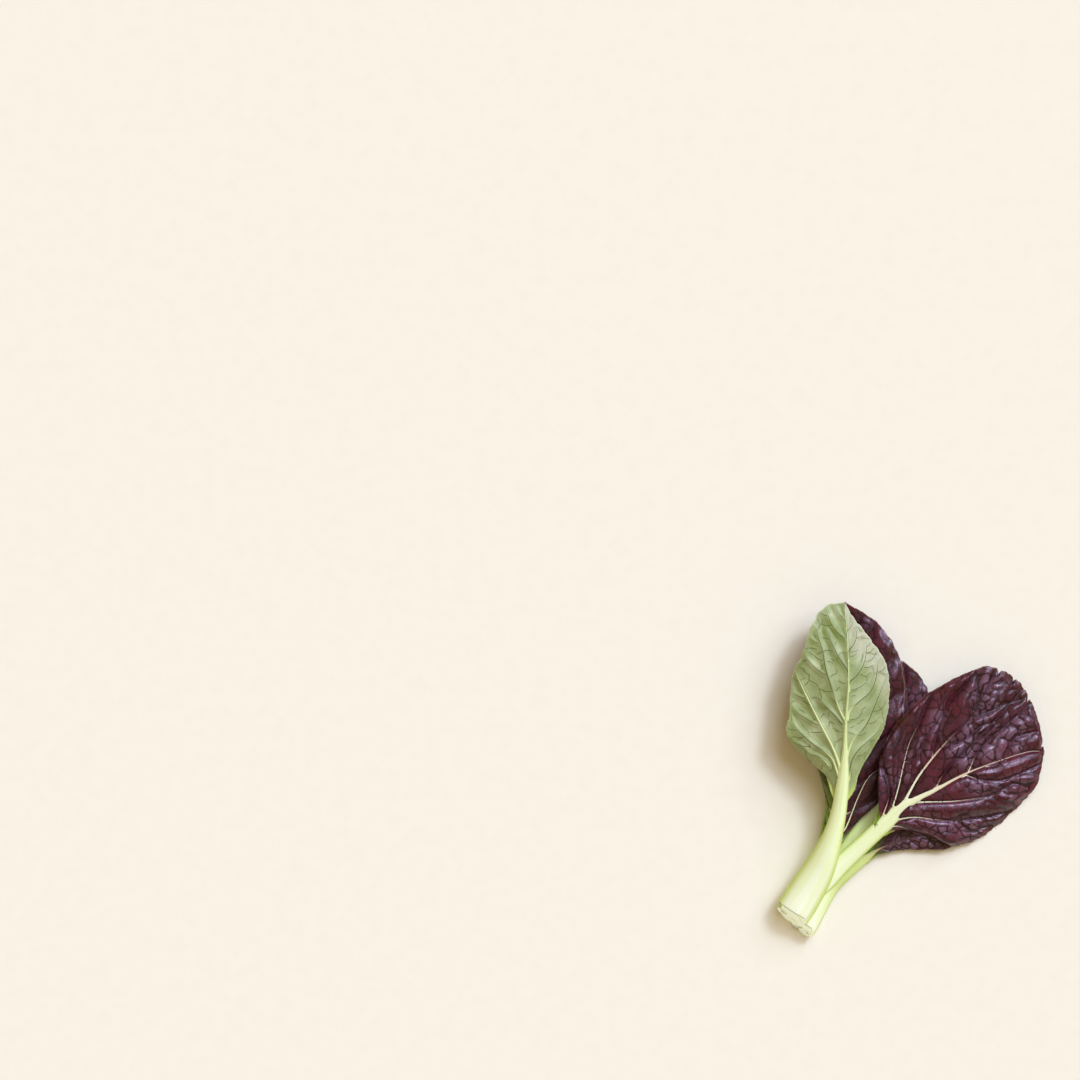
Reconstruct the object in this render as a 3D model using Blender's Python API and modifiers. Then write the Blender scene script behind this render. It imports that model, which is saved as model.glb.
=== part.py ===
"""A small red bok choy, cut from its root and lying on its side: five leaves round a short core.

Every leaf is two bodies, because it has two colours: a pale stalk, which runs on into the leaf as its
midrib, and a thin blade, which is slit as far as the midrib reaches and holds the midrib in the slit.
X runs to the right and Y away, as seen from above, and the table is at Z = 0.
"""

import math

import bmesh
import bpy
import numpy as np

MM = 0.001

# The cut end: a point on the cut's plane, the cut's lean from upright, and its bearing in plan.
CUT_POINT = (-34.25, -44.85, 4.6)
CUT_LEAN = math.radians(24)
CUT_BEARING = math.radians(228.5)
GROWTH = (0.5, 0.866, 0.0)

BLADE_THICKNESS = 0.8
# The gap between the midrib and each half of the blade.
SLIT_GAP = 0.32
# How much of the blade's length is slit, and how much of it the midrib reaches.
SLIT_REACH = 0.86
RIB_REACH = 0.81
# The midrib narrows to a blunt end: over which share of its length, and to which share of its width.
RIB_TIP_SHARE = 0.03
RIB_TIP_WIDTH = 0.35

# Swollen rows between the side veins, and how fine the blade's faces are.
VEINS_A_SIDE = 8
ROWS_A_VEIN = 3
COLUMNS = 7
# Rows lean towards the foot along the midrib, and bow towards it on their way out.
SWEEP = 0.15
ARCH = 0.10
# How the margin's lift grows outwards, and where a swelling starts and how it fades.
LIFT_POWER = 1.6
SWELL_START = 0.25
SWELL_FADE = 0.6
# The left margin's wave runs this share of a wave ahead of the leaf's phase, the right one's as far behind.
WAVE_SHIFT = 0.25

STALK_RINGS = 30
STALK_SIDES = 12
SAMPLES_A_SPAN = 16
DIRECTION_STEP = 0.01
SHARP_ANGLE = math.radians(50)
WELD_DISTANCE = 0.05

# Each station of a stalk: x, y, z of its middle, half width, thickness, bow of the section, roll.
# Each margin runs from the foot of the blade to its tip; the tip is the last station.
# lift is how far each margin stands above the midrib, or hangs below it where it is negative.
LEAVES = {
    "front": {
        "stations": [
            (-35.5, -42.4, 6.0, 5.2, 2.8, 2.2, 0),
            (-31.6, -36.1, 6.4, 5.2, 3.0, 2.0, 0),
            (-28.3, -30.4, 7.2, 4.8, 3.1, 1.8, 0),
            (-25.8, -24.7, 8.6, 3.9, 3.1, 1.4, 0),
            (-23.7, -18.2, 10.2, 2.9, 3.0, 0.8, 0),
            (-22.0, -10.2, 12.0, 2.2, 2.8, 0.4, 0),
            (-20.9, 2.1, 14.6, 1.7, 2.4, 0.1, 0),
            (-20.6, 14.2, 16.2, 1.0, 1.9, 0, 0),
            (-19.8, 26.8, 16.4, 0.6, 1.5, 0, 0),
            (-20.0, 38.7, 14.8, 0.4, 1.2, 0, 0),
            (-20.7, 50.2, 12.2, 0.3, 1.0, 0, 0),
        ],
        "blade_from": 0.38,
        "left": [
            (-24.8, -8.4),
            (-26.2, -0.6),
            (-32.3, 4.5),
            (-37.7, 11.1),
            (-36.9, 16.3),
            (-36.7, 23.1),
            (-35.8, 29.4),
            (-32.9, 35.9),
            (-30.8, 42.8),
            (-26.6, 48.8),
            (-20.7, 50.2),
        ],
        "right": [
            (-18.6, -9.4),
            (-16.2, 0.1),
            (-12.3, 6.8),
            (-8.7, 13.6),
            (-7.6, 21.9),
            (-7.8, 30.1),
            (-11.3, 37.0),
            (-16.8, 43.9),
            (-20.7, 50.2),
        ],
        "lift": (-3.6, -4.6),
        "waves": (0.7, 2.4, 0.15),
        "relief": -0.55,
    },
    "right": {
        "stations": [
            (-27.8, -36.6, 5.2, 1.8, 1.9, 0, 0),
            (-24.8, -32.8, 5.3, 2.5, 2.2, -0.2, 0),
            (-21.0, -28.1, 5.8, 2.8, 2.6, -0.4, 0),
            (-14.1, -21.4, 6.7, 2.5, 2.7, -0.3, 0),
            (-7.1, -14.7, 7.8, 2.4, 2.6, -0.2, 0),
            (-2.2, -10.0, 8.6, 1.7, 2.4, -0.1, 0),
            (6.2, -5.8, 9.2, 0.9, 2.0, 0, 0),
            (15.7, -0.8, 9.0, 0.5, 1.6, 0, 0),
            (26.1, 3.0, 7.2, 0.4, 1.3, 0, 0),
            (34.5, 5.4, 4.8, 0.35, 1.1, 0, 0),
            (39.8, 5.6, 2.8, 0.3, 1.0, 0, 0),
        ],
        "blade_from": 0.365,
        "left": [
            (-9.6, -12.1),
            (-10.2, -3.7),
            (-9.4, 4.9),
            (-5.7, 12.6),
            (0.1, 19.1),
            (6.7, 24.4),
            (14.5, 28.4),
            (22.5, 31.1),
            (30.4, 27.7),
            (35.4, 20.8),
            (38.3, 12.5),
            (39.8, 5.6),
        ],
        "right": [
            (-4.6, -17.2),
            (-0.8, -18.0),
            (3.8, -20.1),
            (10.6, -22.8),
            (20.8, -20.2),
            (27.3, -15.7),
            (33.0, -10.1),
            (37.8, -3.7),
            (39.8, 5.6),
        ],
        "lift": (-1.0, -8.6),
        "waves": (0.9, 2.2, 0.6),
        "relief": 0.65,
    },
    "back": {
        "stations": [
            (-36.4, -43.6, 2.1, 4.0, 2.7, -0.8, 0),
            (-31.3, -35.1, 1.6, 3.1, 2.6, -0.7, 0),
            (-27.1, -27.3, 1.8, 2.4, 2.5, -0.6, 0),
            (-24.1, -19.6, 3.2, 1.9, 2.4, -0.4, 0),
            (-21.9, -9.4, 4.6, 1.8, 2.2, -0.2, 0),
            (-19.2, 7.1, 6.4, 1.2, 1.8, 0, 0),
            (-17.0, 23.6, 7.0, 0.7, 1.5, 0, 0),
            (-16.8, 38.6, 4.4, 0.45, 1.2, 0, 0),
            (-19.4, 50.0, 0.9, 0.3, 1.0, 0, 0),
        ],
        "blade_from": 0.225,
        "left": [
            (-28.4, -22.8),
            (-26.4, -16.5),
            (-25.4, -9.8),
            (-26.1, -4.9),
            (-28.2, 1.5),
            (-31.6, 10.2),
            (-32.8, 20.2),
            (-31.4, 30.2),
            (-28.2, 41.2),
            (-24.2, 48.2),
            (-19.4, 50.0),
        ],
        "right": [
            (-20.8, -22.4),
            (-16.3, -15.6),
            (-8.4, -7.7),
            (-5.1, 3.4),
            (-3.0, 14.0),
            (-2.3, 24.9),
            (-4.5, 35.5),
            (-10.7, 44.4),
            (-19.4, 50.0),
        ],
        "lift": (-3.2, -1.0),
        "waves": (0.8, 2.6, 0.3),
        "relief": 0.6,
    },
    "under": {
        "stations": [
            (-30.8, -46.3, 1.5, 1.8, 2.6, -0.2, 0),
            (-27.6, -39.3, 1.2, 1.7, 2.2, -0.2, 0),
            (-23.6, -31.0, 0.9, 1.8, 1.9, -0.2, 0),
            (-18.8, -23.4, 0.9, 2.2, 1.9, -0.3, 0),
            (-14.0, -17.2, 1.0, 2.3, 1.9, -0.3, 0),
            (-8.8, -10.2, 1.1, 1.7, 1.8, -0.1, 0),
            (-3.6, 2.6, 1.2, 0.9, 1.6, 0, 0),
            (-1.2, 16.2, 1.6, 0.55, 1.3, 0, 0),
            (-2.4, 32.6, 0.4, 0.3, 1.0, 0, 0),
        ],
        "blade_from": 0.45,
        "left": [
            (-13.1, -11.4),
            (-10.2, -3.8),
            (-9.4, 7.2),
            (-8.6, 19.2),
            (-6.0, 29.2),
            (-2.4, 32.6),
        ],
        "right": [
            (-8.2, -14.8),
            (-0.6, -5.8),
            (4.8, 5.2),
            (7.0, 15.2),
            (5.2, 23.4),
            (1.8, 29.2),
            (-2.4, 32.6),
        ],
        "lift": (-0.4, -0.2),
        "waves": (0.3, 1.6, 0.2),
        "relief": 0.45,
    },
    "side": {
        "stations": [
            (-29.7, -47.9, 4.1, 2.2, 1.9, 0.3, 62),
            (-26.5, -41.6, 3.8, 2.0, 1.7, 0.3, 50),
            (-22.8, -35.0, 3.2, 1.8, 1.6, 0.2, 28),
            (-18.2, -30.4, 2.9, 1.6, 1.6, 0, 10),
            (-12.6, -25.9, 2.2, 1.25, 1.6, 0, 0),
            (-9.2, -23.8, 1.8, 0.6, 1.5, 0, 0),
            (-2.0, -20.8, 1.4, 0.5, 1.3, 0, 0),
            (3.4, -19.6, 1.3, 0.4, 1.1, 0, 0),
            (9.0, -19.8, 1.1, 0.3, 1.0, 0, 0),
            (16.0, -20.8, 0.6, 0.25, 0.9, 0, 0),
        ],
        "blade_from": 0.55,
        "left": [
            (-10.0, -22.4),
            (-6.0, -18.2),
            (0.4, -15.4),
            (7.0, -15.4),
            (13.0, -17.8),
            (16.0, -20.8),
        ],
        "right": [
            (-8.7, -24.8),
            (-5.8, -24.6),
            (-2.6, -23.9),
            (5.0, -23.9),
            (11.0, -23.8),
            (16.0, -20.8),
        ],
        "lift": (0.0, -1.2),
        "waves": (0.2, 1.4, 0.4),
        "relief": 0.25,
    },
}

# The core that the leaves grow round, as stations like a stalk's.
CORE = [
    (-34.2, -43.2, 4.6, 4.9, 3.2, 0, 0),
    (-32.4, -40.2, 4.6, 3.6, 2.8, 0, 0),
    (-28.9, -37.2, 5.0, 1.5, 1.8, 0, 0),
]

COLOURS = {
    "stalk": ((0.80, 0.88, 0.55), 0.38),
    "core": ((0.86, 0.88, 0.62), 0.45),
    "green": ((0.36, 0.44, 0.22), 0.5),
    "purple": ((0.075, 0.018, 0.030), 0.34),
}


def clear_scene():
    for obj in list(bpy.data.objects):
        bpy.data.objects.remove(obj)


def material(name):
    colour, roughness = COLOURS[name]
    made = bpy.data.materials.new("bok_choy_" + name)
    made.use_nodes = True
    shader = made.node_tree.nodes["Principled BSDF"]
    shader.inputs["Base Color"].default_value = (*colour, 1.0)
    shader.inputs["Roughness"].default_value = roughness
    shader.inputs["Metallic"].default_value = 0.0
    return made


def smooth_curve(points):
    """(shares, samples): a Catmull-Rom curve through the points, with each sample's share of its length."""
    points = np.array(points, float)
    before = 2 * points[0] - points[1]
    after = 2 * points[-1] - points[-2]
    padded = np.vstack([before, points, after])
    t = np.linspace(0, 1, SAMPLES_A_SPAN, endpoint=False)[:, None]
    spans = []
    for i in range(len(points) - 1):
        a, b, c, d = padded[i : i + 4]
        bend = 2 * a - 5 * b + 4 * c - d
        twist = 3 * b - a - 3 * c + d
        spans.append(b + ((c - a) * t + bend * t**2 + twist * t**3) / 2)
    samples = np.vstack([*spans, points[-1:]])
    steps = np.linalg.norm(np.diff(samples[:, :3], axis=0), axis=1)
    return np.concatenate([[0], np.cumsum(steps)]) / steps.sum(), samples


def at(curve, share):
    """The curve's numbers at these shares of its length."""
    shares, samples = curve
    return np.stack([np.interp(share, shares, column) for column in samples.T], axis=-1)


def directions(curve, share):
    """Unit directions along the curve."""
    ahead = at(curve, np.minimum(share + DIRECTION_STEP, 1))[..., :3]
    behind = at(curve, np.maximum(share - DIRECTION_STEP, 0))[..., :3]
    along = ahead - behind
    return along / np.linalg.norm(along, axis=-1, keepdims=True)


def leftward(along):
    """Level unit directions to the left of these."""
    level = np.stack([-along[..., 1], along[..., 0], 0 * along[..., 0]], axis=-1)
    return level / np.linalg.norm(level, axis=-1, keepdims=True)


def cut_normal():
    level = math.cos(CUT_LEAN)
    return np.array([math.cos(CUT_BEARING) * level, math.sin(CUT_BEARING) * level, math.sin(CUT_LEAN)])


def moved_to_cut(points):
    """The points slid along the direction of growth until they lie on the plane of the cut."""
    normal, growth = cut_normal(), np.array(GROWTH)
    far = (np.array(CUT_POINT) - points) @ normal / (growth @ normal)
    return points + far[:, None] * growth


def stalk_rings(stations, end, starts_at_cut):
    """The rings of points of a stalk, from its foot to the share of its length where it ends."""
    curve = smooth_curve(stations)
    shares = np.linspace(0, end, STALK_RINGS)
    numbers = at(curve, shares)
    along = directions(curve, shares)
    side = leftward(along)
    up = np.cross(along, side)
    angles = np.arange(STALK_SIDES) * 2 * math.pi / STALK_SIDES
    rings = []
    for k, (x, y, z, half, thick, bow, roll) in enumerate(numbers):
        point = min(1.0, (end - shares[k]) / RIB_TIP_SHARE + RIB_TIP_WIDTH)
        across = half * point * np.cos(angles)
        rise = bow * (1 - np.cos(angles) ** 2) + thick * point / 2 * np.sin(angles)
        turn = math.radians(roll)
        ring = np.array([x, y, z]) + (
            np.outer(across * math.cos(turn) - rise * math.sin(turn), side[k])
            + np.outer(across * math.sin(turn) + rise * math.cos(turn), up[k])
        )
        ring[:, 2] = np.maximum(ring[:, 2], 0.0)
        rings.append(ring)
    if starts_at_cut:
        rings[0] = moved_to_cut(rings[0])
        rings[0][:, 2] = np.maximum(rings[0][:, 2], 0.0)
    return rings


def loft(name, rings, collection):
    """A closed body through the rings."""
    shape = bmesh.new()
    made = [[shape.verts.new(point * MM) for point in ring] for ring in rings]
    for first, second in zip(made, made[1:]):
        for i in range(len(first)):
            j = (i + 1) % len(first)
            shape.faces.new((first[i], first[j], second[j], second[i]))
    shape.faces.new(made[0][::-1])
    shape.faces.new(made[-1])
    bmesh.ops.recalc_face_normals(shape, faces=shape.faces)
    mesh = bpy.data.meshes.new(name)
    shape.to_mesh(mesh)
    shape.free()
    obj = bpy.data.objects.new(name, mesh)
    collection.objects.link(obj)
    mesh.shade_smooth()
    mesh.set_sharp_from_angle(angle=SHARP_ANGLE)
    return obj


def half_blade(leaf, side, rows, columns):
    """The middle surface of a leaf's left (side 1) or right (side -1) half, in rows from rib to margin."""
    curve = smooth_curve(leaf["stations"])
    margin = smooth_curve(leaf["left" if side > 0 else "right"])
    u = np.linspace(0, 1, rows + 1)
    v = np.linspace(0, 1, columns + 1)[None, :, None]
    begin = leaf["blade_from"]
    share = begin + (1 - begin) * (u - SWEEP * np.sin(math.pi * u))
    rib = at(curve, share)
    along = directions(curve, share)
    out = leftward(along) * side
    rib_share = (share - begin) / (1 - begin)
    slit = np.where(rib_share < SLIT_REACH, rib[:, 3] + SLIT_GAP, 0.0)
    inner = rib[:, :2] + out[:, :2] * slit[:, None]
    outer = at(margin, u)
    reach = np.linalg.norm(outer - inner, axis=1)
    bend = (inner + outer) / 2 - along[:, :2] * (ARCH * reach)[:, None]
    flat = (1 - v) ** 2 * inner[:, None] + 2 * v * (1 - v) * bend[:, None] + v**2 * outer[:, None]
    v = v[..., 0]
    breadth = (reach / reach.max())[:, None]
    lift = leaf["lift"][0 if side > 0 else 1]
    amplitude, count, phase = leaf["waves"]
    wave = amplitude * np.sin(2 * math.pi * (count * u + phase + WAVE_SHIFT * side))[:, None]
    pillow = np.abs(np.sin(math.pi * VEINS_A_SIDE * u))[:, None]
    swell = leaf["relief"] * pillow * np.minimum(1, v / SWELL_START) * (1 - SWELL_FADE * v**3)
    z = rib[:, 2:3] + breadth * (lift * v**LIFT_POWER + wave * v**2 + swell)
    z = np.maximum(z, BLADE_THICKNESS / 2)
    return np.concatenate([flat, z[..., None]], axis=-1)


def blade(name, leaf, collection):
    """A leaf's blade: both halves, joined beyond the end of the midrib, then thickened."""
    rows = ROWS_A_VEIN * VEINS_A_SIDE
    shape = bmesh.new()
    for side in (1, -1):
        grid = half_blade(leaf, side, rows, COLUMNS) * MM
        made = [[shape.verts.new(point) for point in row] for row in grid]
        for near, far in zip(made, made[1:]):
            for i in range(COLUMNS):
                corners = (near[i], near[i + 1], far[i + 1], far[i])
                shape.faces.new(corners if side < 0 else corners[::-1])
    bmesh.ops.remove_doubles(shape, verts=shape.verts, dist=WELD_DISTANCE * MM)
    bmesh.ops.triangulate(shape, faces=shape.faces)
    mesh = bpy.data.meshes.new(name)
    shape.to_mesh(mesh)
    shape.free()
    obj = bpy.data.objects.new(name, mesh)
    collection.objects.link(obj)
    thicken = obj.modifiers.new("thickness", "SOLIDIFY")
    thicken.thickness = BLADE_THICKNESS * MM
    thicken.offset = 0
    mesh.shade_smooth()
    return obj


def build():
    clear_scene()
    parts = bpy.data.collections.new("bok_choy")
    bpy.context.scene.collection.children.link(parts)
    pale = material("stalk")
    purple = material("purple")
    green = material("green")
    core = loft("core", stalk_rings(CORE, 1.0, True), parts)
    core.data.materials.append(material("core"))
    for name, leaf in LEAVES.items():
        begin = leaf["blade_from"]
        end = begin + (1 - begin) * RIB_REACH
        stalk = loft(name + "_stalk", stalk_rings(leaf["stations"], end, name != "right"), parts)
        stalk.data.materials.append(pale)
        leaf_blade = blade(name + "_blade", leaf, parts)
        leaf_blade.data.materials.append(green if name == "front" else purple)


build()
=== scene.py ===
"""The look of the small red bok choy: puckered blades with their veins, streaked stalks and the cut end.

The leaves follow the same stations and margins as the solids, much finer, with the veins that show in the
picture. Numbers that place things are in millimetres. X runs to the right and Y away, seen from above.
"""

import math

import bpy
import numpy as np
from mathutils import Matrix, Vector, kdtree
from mathutils.bvhtree import BVHTree
from mathutils.geometry import delaunay_2d_cdt


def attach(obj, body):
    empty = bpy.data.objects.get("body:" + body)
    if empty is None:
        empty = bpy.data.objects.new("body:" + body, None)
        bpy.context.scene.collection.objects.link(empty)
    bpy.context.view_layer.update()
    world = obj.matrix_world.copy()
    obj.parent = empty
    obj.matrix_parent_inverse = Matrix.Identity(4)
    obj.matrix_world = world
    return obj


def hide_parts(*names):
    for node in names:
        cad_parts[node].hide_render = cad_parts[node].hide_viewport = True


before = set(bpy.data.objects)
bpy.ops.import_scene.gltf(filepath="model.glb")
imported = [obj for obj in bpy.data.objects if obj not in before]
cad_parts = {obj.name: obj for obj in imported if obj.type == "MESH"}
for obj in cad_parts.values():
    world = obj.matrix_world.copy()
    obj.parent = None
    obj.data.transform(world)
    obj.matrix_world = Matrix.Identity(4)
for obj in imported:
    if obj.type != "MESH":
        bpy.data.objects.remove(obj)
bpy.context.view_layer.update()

MM = 0.001

# The plane of the cut, and the direction in which the head grew.
CUT_POINT = (-34.25, -44.85, 4.6)
CUT_LEAN = math.radians(24)
CUT_BEARING = math.radians(228.5)
GROWTH = (0.5, 0.866, 0.0)

# How a blade's rows sweep towards the tip and bow, how far they start within the rib, and how finely
# the stalks and veins are divided.
SWEEP = 0.15
ARCH = 0.10
BLADE_THICKNESS = 0.5
RIB_TUCK = 0.6
STALK_RINGS = 170
STALK_SIDES = 44
VEIN_SIDES = 8

# Each station of a stalk: x, y, z of its middle, half width, thickness, bow of the section, roll.
# Each margin runs from the foot of the blade to its tip; the tip is the last station.
# lift is how far each margin stands above the midrib, or hangs below it where it is negative.
LEAVES = {
    "front": {
        "stations": [
            (-35.35, -42.5, 6.0, 5.6, 2.8, 2.2, 0), (-31.5, -36.1, 6.4, 5.3, 3.0, 2.0, 0),
            (-28.3, -30.4, 7.2, 4.8, 3.1, 1.8, 0), (-25.8, -24.7, 8.6, 3.9, 3.1, 1.4, 0),
            (-23.7, -18.2, 10.2, 2.9, 3.0, 0.8, 0), (-22.0, -10.2, 12.0, 2.2, 2.8, 0.4, 0),
            (-20.9, 2.1, 14.6, 1.7, 2.4, 0.1, 0), (-20.6, 14.2, 16.2, 1.0, 1.9, 0, 0),
            (-19.8, 26.8, 16.4, 0.6, 1.5, 0, 0), (-20.0, 38.7, 14.8, 0.4, 1.2, 0, 0),
            (-20.7, 50.2, 12.2, 0.3, 1.0, 0, 0),
        ],
        "blade_from": 0.38,
        "left": [
            (-24.8, -8.4), (-26.2, -0.6), (-32.3, 4.5), (-37.7, 11.1), (-36.9, 16.3), (-36.7, 23.1),
            (-35.8, 29.4), (-32.9, 35.9), (-30.8, 42.8), (-26.6, 48.8), (-20.7, 50.2),
        ],
        "right": [
            (-18.6, -9.4), (-16.2, 0.1), (-12.3, 6.8), (-8.7, 13.6), (-7.6, 21.9), (-7.8, 30.1),
            (-11.3, 37.0), (-16.8, 43.9), (-20.7, 50.2),
        ],
        "lift": (-3.6, -4.6),
        "waves": (0.7, 2.4, 0.15),
    },
    "right": {
        "stations": [
            (-27.8, -36.6, 5.2, 1.8, 1.9, 0, 0), (-24.8, -32.8, 5.3, 2.5, 2.2, -0.2, 0),
            (-21.0, -28.1, 5.8, 2.8, 2.6, -0.4, 0), (-14.1, -21.4, 6.7, 2.5, 2.7, -0.3, 0),
            (-7.1, -14.7, 7.8, 2.4, 2.6, -0.2, 0), (-2.2, -10.0, 8.6, 1.7, 2.4, -0.1, 0),
            (6.2, -5.8, 9.2, 0.9, 2.0, 0, 0), (15.7, -0.8, 9.0, 0.5, 1.6, 0, 0),
            (26.1, 3.0, 7.2, 0.4, 1.3, 0, 0), (34.5, 5.4, 4.8, 0.35, 1.1, 0, 0),
            (39.8, 5.6, 2.8, 0.3, 1.0, 0, 0),
        ],
        "blade_from": 0.3,
        "left": [
            (-14.7, -18.2), (-12.2, -15.2), (-9.9, -11.6), (-10.2, -3.7), (-9.4, 4.9), (-5.7, 12.6),
            (0.1, 19.1), (6.7, 24.4), (14.5, 28.4), (22.5, 31.1), (30.4, 27.7), (35.4, 20.8),
            (38.3, 12.5), (39.8, 5.6),
        ],
        "right": [
            (-10.6, -21.8), (-7.6, -19.2), (-4.4, -17.6), (-0.8, -17.8), (3.8, -19.3), (7.6, -20.2),
            (12.6, -22.7), (20.8, -20.3), (27.3, -15.7), (33.0, -10.1), (37.8, -3.7), (39.8, 5.6),
        ],
        "lift": (-1.0, -8.6),
        "waves": (0.9, 2.2, 0.6),
    },
    "back": {
        "stations": [
            (-36.4, -43.6, 2.1, 4.0, 2.7, -0.8, 0), (-31.3, -35.1, 1.6, 3.1, 2.6, -0.7, 0),
            (-27.1, -27.3, 1.8, 2.4, 2.5, -0.6, 0), (-24.1, -19.6, 3.2, 1.9, 2.4, -0.4, 0),
            (-21.9, -9.4, 4.6, 1.8, 2.2, -0.2, 0), (-19.2, 7.1, 6.4, 1.2, 1.8, 0, 0),
            (-17.0, 23.6, 7.0, 0.7, 1.5, 0, 0), (-16.8, 38.6, 4.4, 0.45, 1.2, 0, 0),
            (-19.4, 50.0, 0.9, 0.3, 1.0, 0, 0),
        ],
        "blade_from": 0.225,
        "left": [
            (-28.4, -22.8), (-26.4, -16.5), (-25.4, -9.8), (-26.1, -4.9), (-28.2, 1.5), (-31.6, 10.2),
            (-32.8, 20.2), (-31.4, 30.2), (-28.2, 41.2), (-24.2, 48.2), (-19.4, 50.0),
        ],
        "right": [
            (-20.8, -22.4), (-16.3, -15.6), (-8.4, -7.7), (-5.1, 3.4), (-3.0, 14.0), (-2.3, 24.9),
            (-4.5, 35.5), (-10.7, 44.4), (-19.4, 50.0),
        ],
        "lift": (-3.2, -1.0),
        "waves": (0.8, 2.6, 0.3),
    },
    "under": {
        "stations": [
            (-30.8, -46.3, 1.5, 1.8, 2.6, -0.2, 0), (-27.6, -39.3, 1.2, 1.7, 2.2, -0.2, 0),
            (-23.6, -31.0, 0.9, 1.8, 1.9, -0.2, 0), (-18.8, -23.4, 0.9, 2.2, 1.9, -0.3, 0),
            (-14.0, -17.2, 1.0, 2.3, 1.9, -0.3, 0), (-8.8, -10.2, 1.1, 1.7, 1.8, -0.1, 0),
            (-3.6, 2.6, 1.2, 0.9, 1.6, 0, 0), (-1.2, 16.2, 1.6, 0.55, 1.3, 0, 0),
            (-2.4, 32.6, 0.4, 0.3, 1.0, 0, 0),
        ],
        "blade_from": 0.45,
        "left": [
            (-13.1, -11.4), (-10.2, -3.8), (-9.4, 7.2), (-8.6, 19.2), (-6.0, 29.2), (-2.4, 32.6),
        ],
        "right": [
            (-8.2, -14.8), (-0.6, -5.8), (4.8, 5.2), (7.0, 15.2), (5.2, 23.4), (1.8, 29.2), (-2.4, 32.6),
        ],
        "lift": (-0.4, -0.2),
        "waves": (0.3, 1.6, 0.2),
    },
    "side": {
        "stations": [
            (-30.6, -47.2, 4.1, 2.1, 1.9, 0.3, 62), (-27.2, -41.2, 3.8, 2.0, 1.7, 0.3, 50),
            (-23.0, -35.0, 3.3, 1.9, 1.6, 0.2, 28), (-18.2, -30.4, 3.0, 1.6, 1.6, 0, 10),
            (-12.6, -25.9, 2.7, 1.1, 1.6, 0, 0), (-9.2, -23.6, 2.7, 0.55, 1.5, 0, 0),
            (-2.0, -20.8, 2.9, 0.3, 1.3, 0, 0), (3.4, -19.5, 2.9, 0.25, 1.1, 0, 0),
            (9.0, -19.8, 2.2, 0.2, 1.0, 0, 0), (16.0, -20.8, 0.9, 0.2, 0.9, 0, 0),
        ],
        "blade_from": 0.43,
        "left": [
            (-16.2, -27.6), (-13.0, -24.0), (-10.2, -21.2), (-6.0, -18.2), (0.4, -15.4), (7.0, -15.4),
            (13.0, -17.8), (16.0, -20.8),
        ],
        "right": [
            (-14.6, -29.2), (-11.2, -26.4), (-8.7, -24.9), (-5.8, -24.6), (-2.6, -23.9), (5.0, -23.9),
            (11.0, -23.8), (16.0, -20.8),
        ],
        "lift": (0.0, -1.2),
        "waves": (0.2, 1.4, 0.4),
    },
}

# The core that the leaves grow round, as stations like a stalk's.
CORE = [
    (-34.2, -43.2, 4.6, 4.9, 3.2, 0, 0), (-32.4, -40.2, 4.6, 3.6, 2.8, 0, 0),
    (-28.9, -37.2, 5.0, 1.5, 1.8, 0, 0),
]

# Veins and branches: half width at the foot, how far out the vein is pale, and its points in plan.
# Creases: their points in plan. Sheen and shade: round patches of painted sheen and painted shade, as x, y,
# radius and strength.
# The strip of painted light along the front leaf's right margin, where its fold turns to the light: y, width,
# blur and strength.
FRONT_VEINS = [
    (0.26, 0.5, [(-23.6, 1.8), (-24.5, 3.9), (-26.1, 5.5), (-29.8, 8.0), (-33.8, 11.5), (-35.4, 13.4),
     (-36.8, 15.7)]),
    (0.4, 1.8, [(-22.7, 3.0), (-24.7, 8.0), (-26.6, 11.6), (-28.7, 15.7), (-32.6, 23.6), (-35.5, 30.3)]),
    (0.3, 0.45, [(-20.8, 15.2), (-22.2, 18.0), (-24.4, 24.0), (-26.4, 30.3), (-27.3, 35.7),
     (-28.7, 40.3), (-28.9, 42.0), (-30.3, 43.4)]),
    (0.2, 0.2, [(-20.0, 30.1), (-22.4, 33.7), (-23.9, 36.6), (-25.2, 39.5), (-26.2, 42.0)]),
    (0.18, 0.3, [(-20.2, 38.8), (-22.9, 41.4), (-24.7, 44.0), (-26.4, 49.0)]),
    (0.16, 0.2, [(-20.6, 44.8), (-22.4, 47.0), (-23.7, 49.6)]),
    (0.24, 0.3, [(-19.3, -1.9), (-18.9, 2.4), (-18.0, 4.6), (-16.2, 7.0), (-12.8, 9.8), (-10.8, 11.8),
     (-9.3, 14.4)]),
    (0.26, 0.4, [(-19.6, 6.4), (-18.1, 9.9), (-15.9, 12.0), (-13.7, 15.1), (-10.7, 22.3), (-7.8, 29.2)]),
    (0.24, 0.3, [(-19.4, 18.3), (-16.4, 21.0), (-13.1, 23.9), (-11.4, 27.9), (-10.7, 32.5),
     (-9.7, 34.0)]),
    (0.2, 0.2, [(-19.3, 26.7), (-16.8, 29.2), (-14.9, 32.7), (-14.2, 37.0), (-14.0, 39.4)]),
    (0.18, 0.1, [(-19.6, 35.7), (-17.9, 38.1), (-17.3, 39.6), (-14.9, 40.5)]),
    (0.16, 0.1, [(-20.1, 41.6), (-18.7, 43.1), (-18.1, 45.5)]),
]
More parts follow.
